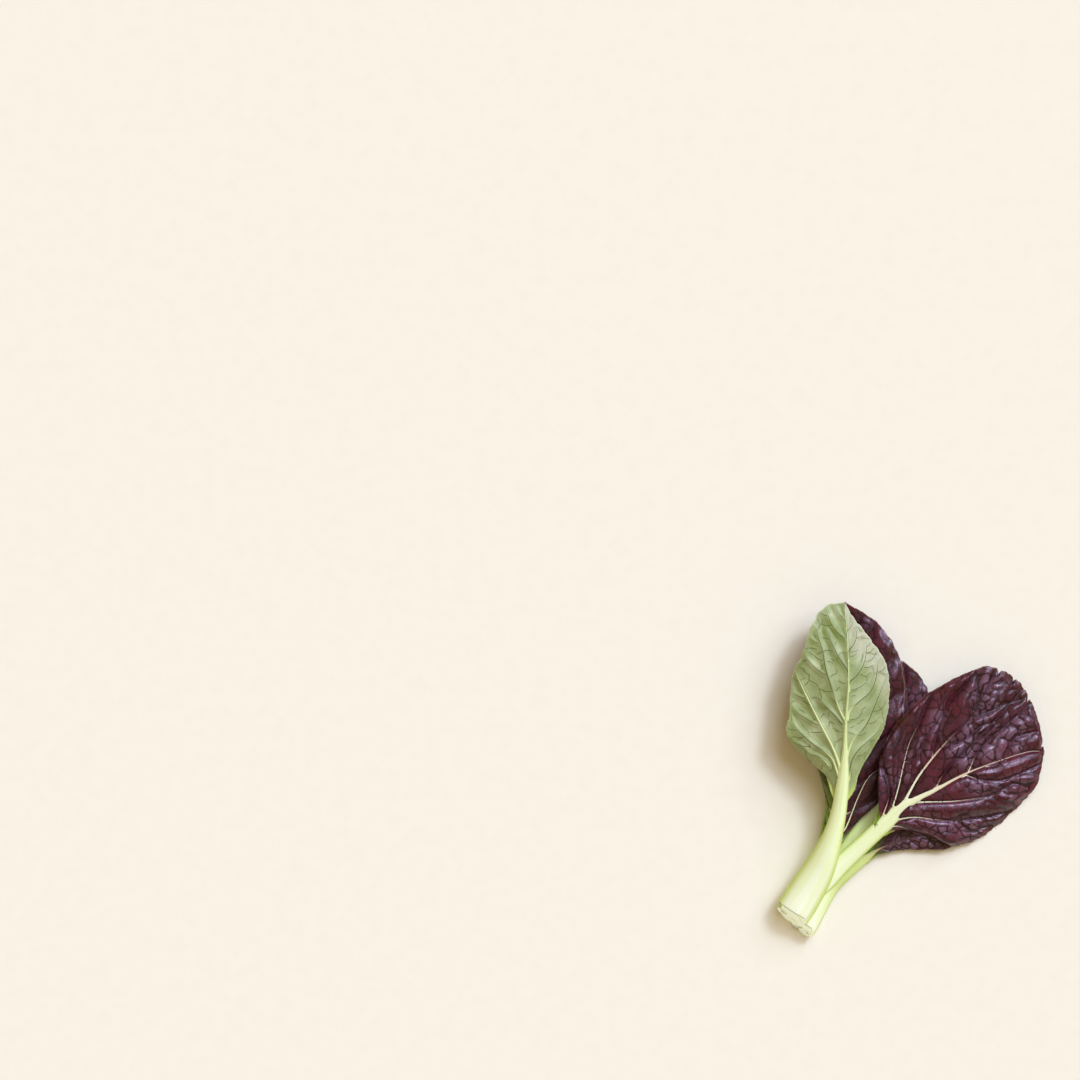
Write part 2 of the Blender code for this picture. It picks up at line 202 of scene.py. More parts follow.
FRONT_BRANCHES = [
    (0.17, 0.0, [(-28.2, 13.8), (-30.2, 14.6), (-32.3, 16.0), (-34.5, 17.3), (-36.5, 19.5)]),
    (0.16, 0.0, [(-32.0, 21.6), (-34.8, 22.6), (-36.8, 23.6)]),
    (0.19, 0.0, [(-21.3, 13.8), (-23.8, 16.8), (-26.8, 19.8), (-28.0, 21.2)]),
    (0.17, 0.0, [(-26.0, 28.7), (-27.5, 29.4), (-29.4, 30.8), (-31.2, 32.6), (-32.5, 34.3),
     (-33.1, 35.3)]),
    (0.15, 0.0, [(-28.2, 38.0), (-29.6, 38.6), (-31.4, 39.8)]),
    (0.15, 0.0, [(-17.3, 39.5), (-17.3, 40.8), (-16.9, 42.7)]),
    (0.16, 0.3, [(-25.4, 1.8), (-26.6, 3.2), (-28.9, 4.6), (-31.2, 5.3), (-32.8, 6.9), (-36.3, 9.0)]),
]
FRONT_CREASES = [
    [(-28.9, 42.0), (-28.3, 43.0), (-28.2, 44.2), (-28.6, 45.3)],
    [(-24.2, 43.8), (-25.7, 43.3), (-27.1, 43.7), (-28.1, 43.9)],
    [(-27.9, 47.2), (-26.8, 46.5), (-25.7, 46.2)], [(-27.5, 39.8), (-26.1, 39.6), (-25.2, 39.2)],
    [(-27.2, 35.7), (-26.1, 36.1), (-25.2, 36.0), (-24.0, 35.7)],
    [(-32.4, 36.7), (-30.5, 36.7), (-28.9, 36.3)],
    [(-31.4, 35.7), (-30.1, 34.7), (-28.2, 33.3), (-27.0, 33.1)], [(-31.9, 32.9), (-33.3, 33.0)],
    [(-26.1, 32.8), (-25.2, 32.8), (-24.3, 32.2)],
    [(-25.0, 28.0), (-24.3, 28.9), (-23.2, 29.3), (-23.2, 30.3)],
    [(-34.0, 31.0), (-32.8, 30.0), (-32.1, 29.2), (-31.2, 28.9), (-31.3, 27.8), (-31.0, 27.1),
     (-29.4, 26.3), (-28.4, 24.9)],
    [(-31.2, 27.2), (-31.9, 26.2), (-32.7, 25.6)],
    [(-28.4, 24.9), (-27.5, 24.3), (-26.1, 23.9), (-24.5, 23.8)],
    [(-28.4, 24.9), (-27.9, 23.3), (-27.6, 22.2), (-28.0, 21.2)],
    [(-30.5, 21.7), (-29.8, 22.1), (-28.9, 22.0), (-28.0, 21.2)], [(-23.6, 24.0), (-22.3, 25.3)],
    [(-26.7, 17.4), (-27.5, 16.7), (-27.9, 16.1)],
    [(-23.8, 14.2), (-24.5, 14.7), (-25.2, 15.0), (-25.5, 13.3)],
    [(-24.0, 12.1), (-23.3, 12.3), (-22.4, 12.0)],
    [(-33.3, 14.1), (-32.4, 12.9), (-31.4, 12.0), (-31.0, 11.3)],
    [(-30.8, 11.8), (-28.9, 11.7), (-27.5, 11.8)], [(-32.6, 10.3), (-34.4, 10.1), (-36.0, 10.6)],
    [(-30.5, 7.6), (-31.9, 7.5), (-33.3, 7.6), (-34.4, 8.3)],
    [(-37.6, 13.2), (-36.8, 12.5), (-34.9, 12.3)], [(-19.3, 34.3), (-18.3, 34.4), (-17.1, 35.2)],
    [(-19.3, 31.3), (-18.4, 32.0)], [(-14.2, 37.0), (-13.2, 37.9), (-12.9, 38.1)],
    [(-14.4, 35.0), (-13.4, 35.3), (-11.9, 36.8)],
    [(-14.7, 32.7), (-13.6, 32.9), (-12.3, 33.6), (-11.2, 35.5)],
    [(-15.2, 31.1), (-13.9, 31.0), (-12.0, 31.7)],
    [(-16.3, 29.2), (-15.3, 28.5), (-14.2, 28.4), (-13.6, 29.1), (-12.8, 29.5)],
    [(-14.2, 28.4), (-14.2, 26.7)], [(-11.0, 29.6), (-9.7, 29.9), (-8.5, 31.0)],
    [(-19.2, 24.3), (-17.3, 24.8), (-16.0, 25.3), (-15.0, 26.2), (-14.1, 26.5)],
    [(-19.2, 22.5), (-17.6, 22.8)], [(-12.4, 18.0), (-10.7, 18.1), (-9.2, 19.3), (-8.2, 21.2)],
    [(-19.3, 15.6), (-17.6, 15.8), (-16.4, 16.6), (-15.7, 17.6), (-15.6, 18.5), (-14.4, 19.4)],
    [(-14.0, 14.5), (-12.7, 14.4), (-11.0, 15.2)], [(-19.3, 13.1), (-18.0, 13.8)],
    [(-17.4, 10.7), (-15.8, 10.9), (-14.5, 11.8)], [(-17.2, 4.6), (-15.4, 5.0), (-14.2, 6.0)],
]
FRONT_SHEEN = [
    (-30.2, 32.2, 1.9, 0.9), (-23.8, 46.6, 2.0, 0.8), (-22.4, 36.2, 1.6, 0.6), (-16.2, 33.5, 2.2, 0.6),
    (-26.2, 15.0, 2.4, 0.7), (-29.6, 12.6, 1.6, 0.7), (-29.6, 20.8, 1.4, 0.6), (-16.0, 20.6, 2.4, 0.5),
    (-18.4, 12.2, 1.6, 0.6), (-31.0, 7.8, 1.6, 0.5), (-34.6, 20.9, 1.2, 0.4),
]
FRONT_SHADE = [
    (-30.0, 38.0, 3.6, 0.5), (-34.0, 32.0, 3.0, 0.3), (-23.4, 42.2, 1.8, 1.0), (-25.0, 44.6, 1.4, 0.8),
    (-26.6, 40.8, 1.8, 0.5), (-21.4, 38.4, 1.6, 0.5), (-33.6, 23.8, 1.3, 0.7), (-31.4, 19.4, 1.2, 0.6),
    (-30.2, 15.6, 1.2, 0.6), (-35.4, 17.6, 1.2, 0.6), (-32.6, 30.6, 1.5, 0.4), (-26.0, 20.6, 1.4, 0.3),
]
FRONT_PAINTED_LIGHT_STRIP = [
    (14, 1.0, 3.0, 0.0), (20, 2.2, 4.0, 0.4), (26, 4.0, 4.5, 0.7), (31, 5.4, 3.5, 0.8),
    (36, 6.4, 2.5, 0.9), (40, 4.6, 1.2, 1.0), (43, 2.9, 0.8, 1.0), (46, 1.7, 0.6, 1.0),
    (50, 0.8, 0.5, 1.0),
]
RIGHT_VEINS = [
    (0.2, 0.5, [(-8.6, -12.6), (-7.0, -7.3), (-7.4, -2.7), (-8.9, 0.7)]),
    (0.24, 0.75, [(-6.0, -10.7), (-4.3, -5.0), (-2.6, 2.6), (-1.0, 8.3), (2.0, 14.4), (5.0, 21.2),
     (8.1, 24.3)]),
    (0.52, 0.6, [(-2.6, -9.1), (1.2, -2.3), (5.4, 3.4), (10.0, 8.7), (16.8, 15.7), (20.2, 20.9),
     (24.8, 30.7)]),
    (0.18, 0.2, [(6.2, -5.7), (8.4, -1.9), (11.5, 2.3), (15.3, 6.4), (21.4, 11.8), (25.2, 15.9),
     (33.5, 25.0)]),
    (0.2, 0.3, [(16.1, -0.8), (19.2, 5.6), (23.7, 10.2), (30.2, 15.5), (35.5, 20.4)]),
    (0.14, 0.1, [(24.7, 1.9), (27.8, 4.8), (30.8, 9.7), (36.9, 11.6)]),
    (0.18, 0.5, [(-5.3, -16.6), (-3.4, -16.8), (0.4, -18.5), (4.2, -19.6)]),
    (0.24, 0.5, [(-3.1, -14.3), (1.5, -13.9), (7.2, -14.7), (13.3, -14.9), (23.2, -13.9), (30.1, -12.0)]),
    (0.26, 0.65, [(2.7, -9.3), (13.3, -9.0), (23.2, -7.4), (30.1, -4.0), (34.6, -5.1)]),
    (0.13, 0.3, [(15.6, -1.3), (20.2, -2.7), (26.3, -2.9), (32.0, -1.1), (38.8, 1.9)]),
]
RIGHT_BRANCHES = [
    (0.12, 0.0, [(16.9, 15.7), (23.0, 17.8), (27.2, 19.7), (32.5, 21.2), (34.4, 22.3)]),
    (0.12, 0.1, [(5.5, 3.3), (6.6, 8.7), (9.3, 17.0), (11.6, 21.6), (15.4, 25.4), (18.8, 28.8)]),
    (0.12, 0.0, [(-2.5, 2.6), (2.1, 4.9), (4.0, 10.2), (8.5, 16.6)]),
    (0.12, 0.0, [(13.4, -14.9), (18.0, -18.2), (23.3, -16.6), (25.6, -17.8)]),
    (0.12, 0.0, [(17.9, 17.5), (19.2, 23.4), (18.6, 29.0)]),
    (0.12, 0.0, [(9.1, 7.8), (15.4, 9.4), (19.8, 13.0), (24.6, 14.6)]),
]
RIGHT_CREASES = [
    [(12.4, -15.6), (13.0, -17.0), (14.0, -17.8), (16.0, -18.3), (18.0, -18.6), (19.5, -18.4),
     (20.2, -17.2), (19.8, -15.8)],
    [(8.3, -18.8), (9.5, -18.3), (11.5, -18.0), (12.6, -16.9)],
    [(0.6, -15.2), (2.2, -16.2), (4.4, -17.0), (6.6, -17.8), (8.3, -18.8)],
    [(19.8, -15.8), (20.8, -16.9), (22.5, -17.1), (24.0, -16.6)],
    [(22.0, -14.4), (22.2, -15.4), (23.2, -16.3)],
    [(14.2, -20.4), (16.0, -20.3), (18.5, -19.9), (20.5, -20.3)],
    [(24.2, -8.2), (25.3, -9.0), (27.0, -9.3), (29.0, -9.5), (31.0, -9.8)],
    [(22.3, -9.4), (23.8, -9.8), (26.0, -10.8), (28.0, -11.4)],
    [(27.4, -6.7), (28.6, -7.2), (30.5, -7.1), (32.0, -6.8), (34.0, -6.2)],
    [(28.4, -5.6), (29.2, -4.7), (30.0, -3.3), (31.5, -3.8), (34.0, -4.0), (36.5, -3.4)],
    [(34.0, -0.6), (35.0, -1.0), (37.0, -1.0), (38.4, -0.7)],
    [(16.0, -4.9), (17.5, -5.6), (19.5, -5.6), (20.5, -6.2), (21.4, -6.0), (22.5, -5.4), (24.0, -5.5),
     (25.5, -5.3)],
    [(19.6, -4.0), (20.2, -5.0), (20.6, -6.0)], [(24.0, -3.8), (25.6, -4.4), (27.5, -4.6)],
    [(5.2, -12.6), (6.6, -13.8)], [(12.8, -14.4), (14.2, -12.9), (15.8, -12.3)],
    [(-8.9, 1.8), (-8.4, 0.0), (-7.9, -2.5), (-7.5, -4.5), (-7.4, -7.0)],
    [(-5.9, 2.4), (-6.0, -0.5), (-5.5, -2.5), (-5.7, -4.3)],
    [(-4.2, 4.6), (-4.4, 1.5), (-4.7, -2.0), (-5.2, -6.0)],
    [(-2.0, 2.0), (-0.8, 2.1), (-0.2, 3.3), (0.2, 5.6), (0.8, 7.6), (1.6, 9.6)],
    [(-0.4, 1.9), (-0.6, -1.0), (-1.2, -4.0), (-2.3, -7.2)],
    [(3.0, 8.3), (2.5, 6.0), (2.2, 2.5), (1.6, -1.6)],
    [(0.3, 10.0), (1.0, 9.9), (2.5, 10.3), (3.9, 10.9), (3.0, 8.3)],
    [(3.9, 10.9), (3.6, 12.6), (4.6, 13.9), (6.4, 14.6), (7.8, 13.5)],
    [(6.3, 14.6), (6.5, 16.3), (7.4, 18.0), (8.2, 20.3), (8.4, 22.6)],
    [(9.0, 16.6), (8.8, 19.0), (9.1, 21.5), (9.6, 23.6)],
    [(7.8, 13.5), (7.0, 11.0), (6.6, 9.0), (6.3, 6.5)],
    [(9.2, 8.4), (8.8, 10.8), (9.4, 13.4), (10.6, 15.8), (11.8, 18.4)],
    [(-0.3, 10.8), (0.1, 13.2), (0.9, 16.0), (1.8, 18.4)],
    [(-6.2, 4.6), (-5.2, 7.6), (-3.8, 10.6), (-2.4, 13.4)], [(-2.9, 5.0), (-2.6, 7.8), (-1.8, 10.6)],
    [(16.2, 20.6), (16.9, 22.3), (17.6, 23.6), (19.0, 24.5), (19.4, 25.8), (20.2, 27.9)],
    [(16.9, 22.3), (18.0, 22.6), (19.4, 22.1)], [(17.2, 15.8), (16.4, 18.0), (16.3, 20.0), (16.2, 20.6)],
    [(19.4, 25.0), (19.9, 22.6), (19.4, 20.6), (18.4, 18.4)], [(17.8, 26.8), (19.2, 28.0), (20.4, 29.3)],
    [(18.6, 18.1), (19.8, 17.2)], [(19.7, 19.6), (21.4, 18.6)],
    [(20.7, 20.9), (22.8, 19.7), (23.4, 19.0)], [(22.1, 22.8), (23.6, 21.9), (24.5, 22.4)],
    [(23.4, 24.4), (25.3, 23.7)], [(23.9, 26.1), (25.6, 25.9), (26.8, 27.0)],
    [(17.4, 15.8), (20.0, 16.2), (22.0, 16.9), (23.4, 17.8), (24.2, 20.0), (24.9, 22.2), (25.6, 24.4)],
    [(24.8, 18.0), (25.6, 19.3), (27.0, 21.3), (28.2, 23.3), (29.6, 24.2), (31.0, 24.5)],
    [(25.8, 19.0), (27.4, 19.6), (29.5, 20.0), (31.6, 20.6), (33.0, 19.8)],
    [(27.8, 19.2), (28.6, 17.0), (29.1, 15.0)],
    [(29.3, 13.2), (30.5, 12.8), (32.3, 12.2), (34.0, 12.6), (36.0, 13.0)],
    [(31.6, 15.8), (33.4, 14.4), (34.4, 13.0)], [(32.3, 16.7), (34.0, 16.4), (35.6, 15.4)],
    [(22.5, 8.0), (24.4, 7.5), (25.8, 9.4), (27.6, 9.3), (29.6, 9.0)],
    [(29.6, 9.0), (30.6, 10.4), (32.0, 11.2), (32.3, 12.2)], [(24.4, 7.5), (24.6, 5.6), (24.0, 3.6)],
    [(32.8, 5.2), (33.2, 7.0), (34.6, 9.0), (35.5, 10.4)], [(29.2, 7.2), (31.5, 7.7), (33.2, 7.0)],
    [(13.0, 4.0), (14.6, 4.8), (16.0, 4.4), (16.3, 2.8)], [(14.6, 4.8), (15.4, 6.6), (15.1, 8.0)],
    [(16.0, 4.4), (17.2, 6.3), (18.4, 8.2)], [(17.8, 8.6), (19.5, 9.8), (20.4, 11.0), (21.6, 13.0)],
    [(17.4, 14.0), (18.3, 12.7), (19.4, 13.2), (21.5, 14.6)],
]
RIGHT_SHEEN = [
    (20.6, 27.0, 2.6, 1.0), (23.2, 21.4, 3.0, 1.0), (20.2, 18.4, 1.8, 1.0), (18.2, 22.6, 2.0, 0.9),
    (25.2, 27.0, 1.6, 0.9), (21.6, 15.9, 2.2, 0.8), (16.2, 13.2, 2.0, 0.8), (15.2, 3.6, 2.8, 1.0),
    (16.6, 8.0, 2.8, 1.0), (22.0, 6.6, 2.6, 0.9), (12.6, 7.2, 2.6, 1.0), (31.5, 13.6, 3.4, 0.7),
    (28.0, 9.2, 3.4, 0.6), (31.4, 6.6, 2.0, 0.7), (24.6, 4.6, 2.6, 0.7), (7.6, 17.0, 2.4, 0.8),
    (6.0, 12.4, 2.2, 0.8), (3.2, 6.6, 2.4, 0.6), (-1.0, 4.4, 1.8, 0.6), (-8.2, -0.6, 2.4, 0.8),
    (-5.4, -3.2, 1.6, 0.6), (-2.0, -1.0, 1.6, 0.6), (19.4, -4.7, 2.6, 1.0), (25.0, -4.4, 1.8, 0.6),
    (32.0, -3.2, 2.6, 0.6), (29.6, -8.0, 1.6, 0.6), (6.4, -15.9, 2.8, 0.9), (10.8, -16.8, 2.2, 0.9),
    (16.4, -17.0, 2.8, 0.9), (17.6, -19.6, 2.2, 0.8), (2.0, -11.6, 2.0, 0.4),
]
RIGHT_SHADE = [
    (-5.0, 9.0, 4.6, 1.0), (-0.8, 9.2, 2.6, 1.0), (0.4, 15.4, 3.4, 1.0), (3.6, 21.2, 2.4, 0.8),
    (7.8, 9.6, 1.6, 0.9), (10.8, 15.6, 2.0, 0.9), (13.6, 14.6, 1.6, 0.7), (13.8, 24.6, 3.0, 0.8),
    (18.6, 10.4, 2.0, 0.7), (19.2, 6.0, 1.6, 0.9), (23.4, 11.8, 2.4, 0.9), (27.0, 15.4, 2.8, 0.9),
    (29.6, 22.0, 3.4, 0.9), (28.4, 27.0, 2.4, 0.8), (33.6, 22.6, 2.4, 0.8), (36.6, 4.6, 2.6, 0.7),
    (24.6, 0.0, 2.4, 0.6), (24.0, -6.8, 2.2, 0.7), (21.6, -11.8, 3.6, 1.0), (15.6, -13.2, 3.0, 0.9),
    (28.4, -12.0, 2.4, 0.7), (11.0, -1.6, 2.6, 0.9), (2.8, -3.2, 1.8, 0.6), (8.4, -18.2, 1.4, 0.7),
    (24.4, -15.2, 1.6, 0.6),
]

# What most leaves share. relief, net_relief and crease_relief are how far the blade rises between the
# veins, between the net's lines and beside a crease. net_cell is the width of the net's cells, and
# net_kept the share of their borders that show. slim and stout thin and thicken the stalk.
# own_vein is the half width and pale share of the veins that a leaf grows by rule.
# wing gives, for the left and right half, how far up the blade and how far out its foot is green.
PLAIN_LOOK = {
    "green_up": False,
    "branches": [],
    "fine": [],
    "painted_light_strip": [],
    "notches": [],
    "left_edge": 1.0,
    "net_kept": 0.9,
    "net_groove": 0.9,
    "crease_relief": 0.0,
    "net_width": 0.12,
    "net_rise": 0.02,
    "slim_over": (0.04, 0.3),
}
LOOKS = {
    "front": {
        **PLAIN_LOOK,
        "seed": 11,
        "lime": 0.0,
        "green_up": True,
        "grid": (272, 90),
        "veins": FRONT_VEINS,
        "branches": FRONT_BRANCHES,
        "fine": FRONT_CREASES,
        "sheen": FRONT_SHEEN,
        "shade": FRONT_SHADE,
        "painted_light_strip": FRONT_PAINTED_LIGHT_STRIP,
        "own_vein": None,
        "rib_tint": 0.45,
        "rib_fade": (0.1, 0.6),
        "relief": -0.52,
        "bulge": 3.6,
        "net_cell": 3.4,
        "net_kept": 0.22,
        "net_relief": -0.06,
        "net_groove": 0.7,
        "crease_relief": -0.12,
        "net_width": 0.11,
        "net_rise": 0.05,
        "sway": 0.26,
        "wing": ((0.12, 0.9), (0.12, 0.9)),
        "slim": 0.5,
        "slim_over": (0.04, 0.34),
        "stout": 1.0,
    },
    "right": {
        **PLAIN_LOOK,
        "seed": 23,
        "lime": 0.0,
        "grid": (272, 90),
        "veins": RIGHT_VEINS,
        "branches": RIGHT_BRANCHES,
        "fine": RIGHT_CREASES,
        "sheen": RIGHT_SHEEN,
        "shade": RIGHT_SHADE,
        "notches": [(25.6, 29.5), (29.6, 27.0), (34.3, 21.5), (39.0, 7.9)],
        "own_vein": None,
        "rib_tint": 0.62,
        "rib_fade": (0.12, 0.75),
        "relief": 1.25,
        "bulge": 3.6,
        "net_cell": 2.9,
        "net_kept": 0.8,
        "net_relief": 0.05,
        "crease_relief": 0.42,
        "net_width": 0.11,
        "net_rise": 0.01,
        "sway": 0.7,
        "wing": ((0.13, 0.9), (0.13, 0.9)),
        "slim": 0.55,
        "slim_over": (0.3, 0.75),
        "stout": 1.0,
    },
    "back": {
        **PLAIN_LOOK,
        "seed": 37,
        "lime": 0.35,
        "grid": (190, 66),
        "veins": [(0.26, 1.2, [(-19.6, -17.3), (-16.3, -8.9), (-13.6, -3.2), (-10.8, -0.4), (-6.5, 1.2)])],
        "sheen": [(-6.5, 29.0, 2.0, 0.4), (-8.0, 20.0, 2.0, 0.4), (-14.0, 43.0, 2.5, 0.2)],
        "shade": [
            (-12.0, -8.0, 9.0, 1.0), (-12.0, 8.0, 9.0, 1.0), (-10.0, 26.0, 9.0, 0.9),
            (-17.0, 43.0, 8.0, 0.9),
        ],
        "own_vein": (0.2, 0.35),
        "rib_tint": 0.7,
        "rib_fade": (0.1, 0.5),
        "relief": 0.8,
        "bulge": 3.4,
        "net_cell": 2.8,
        "net_relief": 0.13,
        "sway": 0.4,
        "wing": ((0.52, 1.0), (0.1, 0.5)),
        "slim": 0.27,
        "stout": 1.15,
    },
    "under": {
        **PLAIN_LOOK,
        "seed": 41,
        "lime": 0.5,
        "grid": (140, 48),
        "veins": [],
        "sheen": [(2.0, 19.0, 4.0, 0.8)],
        "shade": [(-4.0, 14.0, 4.0, 0.8)],
        "own_vein": (0.14, 0.1),
        "rib_tint": 0.95,
        "rib_fade": (0.0, 0.4),
        "relief": 0.55,
        "bulge": 3.0,
        "net_cell": 2.6,
        "net_relief": 0.12,
        "sway": 0.2,
        "wing": ((0.05, 0.5), (0.05, 0.5)),
        "slim": 0.38,
        "stout": 1.3,
    },
    "side": {
        **PLAIN_LOOK,
        "seed": 53,
        "lime": 0.7,
        "grid": (130, 40),
        "veins": [],
        "sheen": [
            (-4.0, -23.0, 2.6, 0.9), (1.0, -22.4, 2.4, 0.9), (6.0, -21.6, 3.0, 0.8), (-7.0, -25.0, 2.0, 0.7),
        ],
        "shade": [],
        "own_vein": (0.12, 0.05),
        "left_edge": 0.45,
        "rib_tint": 0.9,
        "rib_fade": (0.0, 0.35),
        "relief": 0.3,
        "bulge": 2.4,
        "net_cell": 2.4,
        "net_relief": 0.13,
        "sway": 0.1,
        "wing": ((0.4, 0.9), (0.4, 0.9)),
        "slim": 0.6,
        "stout": 2.1,
    },
}

# Curves, and the midrib as it thins along the blade and thickens towards the cut.
SPAN_SAMPLES = 16
DIRECTION_STEP = 0.01
CURVE_SAMPLES = 300
RIB_SAMPLES = 400
RIB_REACH = 0.99
STOUT_OVER = (0.05, 0.28)
STOUT_WIDENING = 0.4
SLIM_THINNING = 0.5
TIP_TAPER = 0.03
TIP_SHARE = 0.35
FINE_RINGS_TO = 0.6
RIDGE_HEIGHT = 0.05
RIDGE_COUNTS = range(5, 19)
RIDGE_STRENGTHS = (0.3, 1)
RIDGE_LEAST_HALF = 0.4
NICK_RARITY = 4
NICK_DEPTH = 0.45

# The margins: unevenness, the nicks listed in LOOKS, the frill, and the narrow foot of the blade.
RIPPLE_WAVES = 8
RIPPLE_SPREAD = (0.6, 1.6)
MARGIN_UNEVENNESS = 0.20
MARGIN_WAVELENGTH = 4.5
FINE_UNEVENNESS = 0.13
FINE_WAVELENGTH = 1.7
ENDS_CALM = 6
NOTCH_DEPTH = 1.3
NOTCH_WIDTH = 0.8
NOTCH_NEAR = 3.0
FRILL = 0.3
FRILL_WAVELENGTH = 6.0
LIFT_POWER = 1.6
WAVE_OFFSET = 0.25
FOOT_START = 0.01
FOOT_TAPER = 0.07
FOOT_FLAT = 0.06
BLADE_LENGTH = 55.0

# The veins and the thin lines: where they root in the rib, how they taper, how deep they sit in the face,
# how far along them they stay pale, and whereabouts on a stalk their colour is taken from.
VEIN_STEP = 0.25
VEIN_ROOT = 3.0
ROOT_SHARE = 0.5
ROOT_RISE = 2.6
ROOT_HEIGHT = 0.35
ROOT_SAMPLES = 4
VEIN_FLARE = 4.0
FLARE_WIDTH = 0.8
THIN_VEIN = 0.17
VEIN_SINK = 0.15
VEIN_TIP = 0.40
VEIN_TAPER = 0.35
VEIN_END = (0.7, 1.0)
VEIN_END_THINNING = 0.6
VEIN_HEIGHT = 0.8
PALE_START = 0.3
PALE_BLEND = 0.05
VEIN_SHARE = 0.7
LINE_SHARE = 0.8
LINE_ENDS = 0.35
LINE_SWELL = 2.5
ABOVE_ALL = 60
HIDDEN_VEINS = 8
ROWS_A_VEIN = 8

# The net and the creases: their seeds, how crooked and how wide the lines are, and where they stop.
NET_SAMPLING = 3
NET_STEP = 0.3
NET_EDGE = 0.4
NET_MARGIN = 0.5
NET_ROW = 0.87
NET_JITTER = 0.36
NET_CROOK = 0.08
NET_SHORTEST = 0.15
NET_LONGEST = 3
NET_WEIGHTS = (0.5, 1.15)
VEIN_CLEARANCE = 0.10
VEIN_SPREAD = 0.7
RIB_CLEARANCE = 0.75
LINE_SAMPLING = 0.12
LINE_SINK = 0.03
FINE_WEIGHT = 1.35

# The relief: how far from a vein, a net line or a crease its pillows climb, and how round the valley is.
SETTLE_OVER = 2.0
SETTLED_LEAST = 0.25
MAIN_VALLEY = 0.35
NET_SHOULDER = 0.8
NET_VALLEY = 0.10
NET_FLAT = (0.3, 1.0)
NET_BASE = 0.5
CREASE_SHOULDER = 1.7
CREASE_VALLEY = 0.2
CREASE_FLAT = (0.2, 1.2)
SWAY_WAVELENGTH = 13.0
SWAY_FLAT = 6

# The masks: the width of the dark lines and their painted shade, of the pale rim with its painted highlight
# and of the olive edge, and the green foot.
MAIN_LINE = 0.28
NET_LINE = 0.22
CREASE_LINE = 0.26
RIM_WIDTH = 0.22
EDGE_BAND = (0.3, 3.5)
WING_SOLID = 0.4
WING_FADE = 0.6
STRIP_BLUR = 0.5

# Corners of the faces between two rings, as (ring, side): where the rings run along a stalk, where they
# close over a cut, and where they run down a torn bit.
OUTWARD = ((0, 0), (0, 1), (1, 1), (1, 0))
INWARD = ((0, 1), (0, 0), (1, 0), (1, 1))
BIT_CORNERS = ((0, 0), (1, 0), (1, 1), (0, 1))

# A length that is as good as none.
TINY = 1e-9

# The cut face of a stalk: how far in each ring is, how deep, and how much of it is flesh.
CAP_STEPS = [(1.0, 0.0, 0.8), (0.93, -0.02, 1.0), (0.84, 0.02, 1.0), (0.5, 0.08, 1.0), (0.15, 0.1, 1.0)]

# The core: its rings, how much fuller than its stations it is, and its rough face.
CORE_RINGS = 24
CORE_SEED = 5
CORE_FULLNESS = (1.06, 1.6)
CORE_RECESS = 0.15
CORE_SQUARENESS = 0.75
CORE_FACE_SCALES = [1.0, 0.94, 0.8, 0.6, 0.4, 0.2]
CORE_FACE_ROUGHNESS = 0.12
CORE_FACE_WAVELENGTH = 2.2
CORE_RAGGEDNESS = 0.03

# Torn bits on the rims of the cut, as x, y and size, and how a bit is made.
BIT_RISE = 0.5
BIT_ROWS = 6
BIT_COLUMNS = 9
BIT_UNEVENNESS = (0.65, 1.15)
BIT_FLATNESS = 0.7
TORN_BITS = [
    (-38.5, -42.2, 0.46), (-38.0, -42.6, 0.42), (-37.4, -42.7, 0.34), (-34.8, -46.3, 0.38),
    (-34.0, -46.8, 0.5), (-33.4, -47.0, 0.4), (-32.9, -47.0, 0.34), (-32.0, -48.0, 0.22),
    (-31.1, -48.8, 0.42), (-30.6, -49.0, 0.34), (-37.1, -40.4, 0.13), (-36.2, -41.0, 0.1),
    (-35.2, -41.6, 0.12), (-34.0, -42.5, 0.12), (-33.2, -43.1, 0.1), (-32.2, -44.3, 0.12),
]

# Colours as they show on a screen.
CREAM = (250, 248, 220)
SPRING_GREEN = (220, 230, 160)
PINK_VEIN = (230, 200, 172)
DARK_VEIN = (52, 15, 22)
DARK_LINE = (38, 10, 16)
GREEN_VEIN = (206, 216, 150)
OLIVE_VEIN = (98, 106, 50)
OLIVE_LINE = (92, 98, 50)

# What the masks of a stalk say on plain skin.
STALK_MASKS = {
    "share": 0.0,
    "across": 0.0,
    "around": 1.0,
    "tint": 0.0,
    "flesh": 0.0,
    "line": 0.0,
    "lime": 0.0,
}

# A faint painted glow: a little on the stalks' skin and more on the cut flesh, which faces away from the
# lamps. It stands in for light passed on by wet flesh.
FLESH_GLOW = (0.80, 1.0, 0.80, 1.0)
GLOW_STRENGTH = 0.32
STALK_GLOW = 0.05

# The floor, the lights and the camera.
FLOOR_REACH = 3.0
FLOOR_Z = -0.00005
KEY_SIDE = (0.45, 0.53, 0.72)
KEY_SPREAD = math.radians(50)
KEY_STRENGTH = 2.543
GLINT_SPREAD = math.radians(12)
GLINT_STRENGTH = 1.087
KEY_COLOUR = (0.699, 0.807, 1.0)
ROOM_COLOUR = (1.0, 0.786, 0.405, 1.0)
ROOM_STRENGTH = 0.42
CAMERA_PLACE = (-111.05, 68.75, 1200.0)
CAMERA_LENS = 133.333
CAMERA_SENSOR = 36.0


def smooth_curve(points):
    """(shares, samples): a Catmull-Rom curve through the points, with each sample's share of its length."""
    points = np.array(points, float)
    before = 2 * points[0] - points[1]
    after = 2 * points[-1] - points[-2]
    padded = np.vstack([before, points, after])
    t = np.linspace(0, 1, SPAN_SAMPLES, endpoint=False)[:, None]
    spans = []
    for i in range(len(points) - 1):
        a, b, c, d = padded[i : i + 4]
        bend = 2 * a - 5 * b + 4 * c - d
        twist = 3 * b - a - 3 * c + d
        spans.append(b + ((c - a) * t + bend * t**2 + twist * t**3) / 2)
    samples = np.vstack([*spans, points[-1:]])
    steps = np.linalg.norm(np.diff(samples[:, :3], axis=0), axis=1)
    return np.concatenate([[0], np.cumsum(steps)]) / steps.sum(), samples


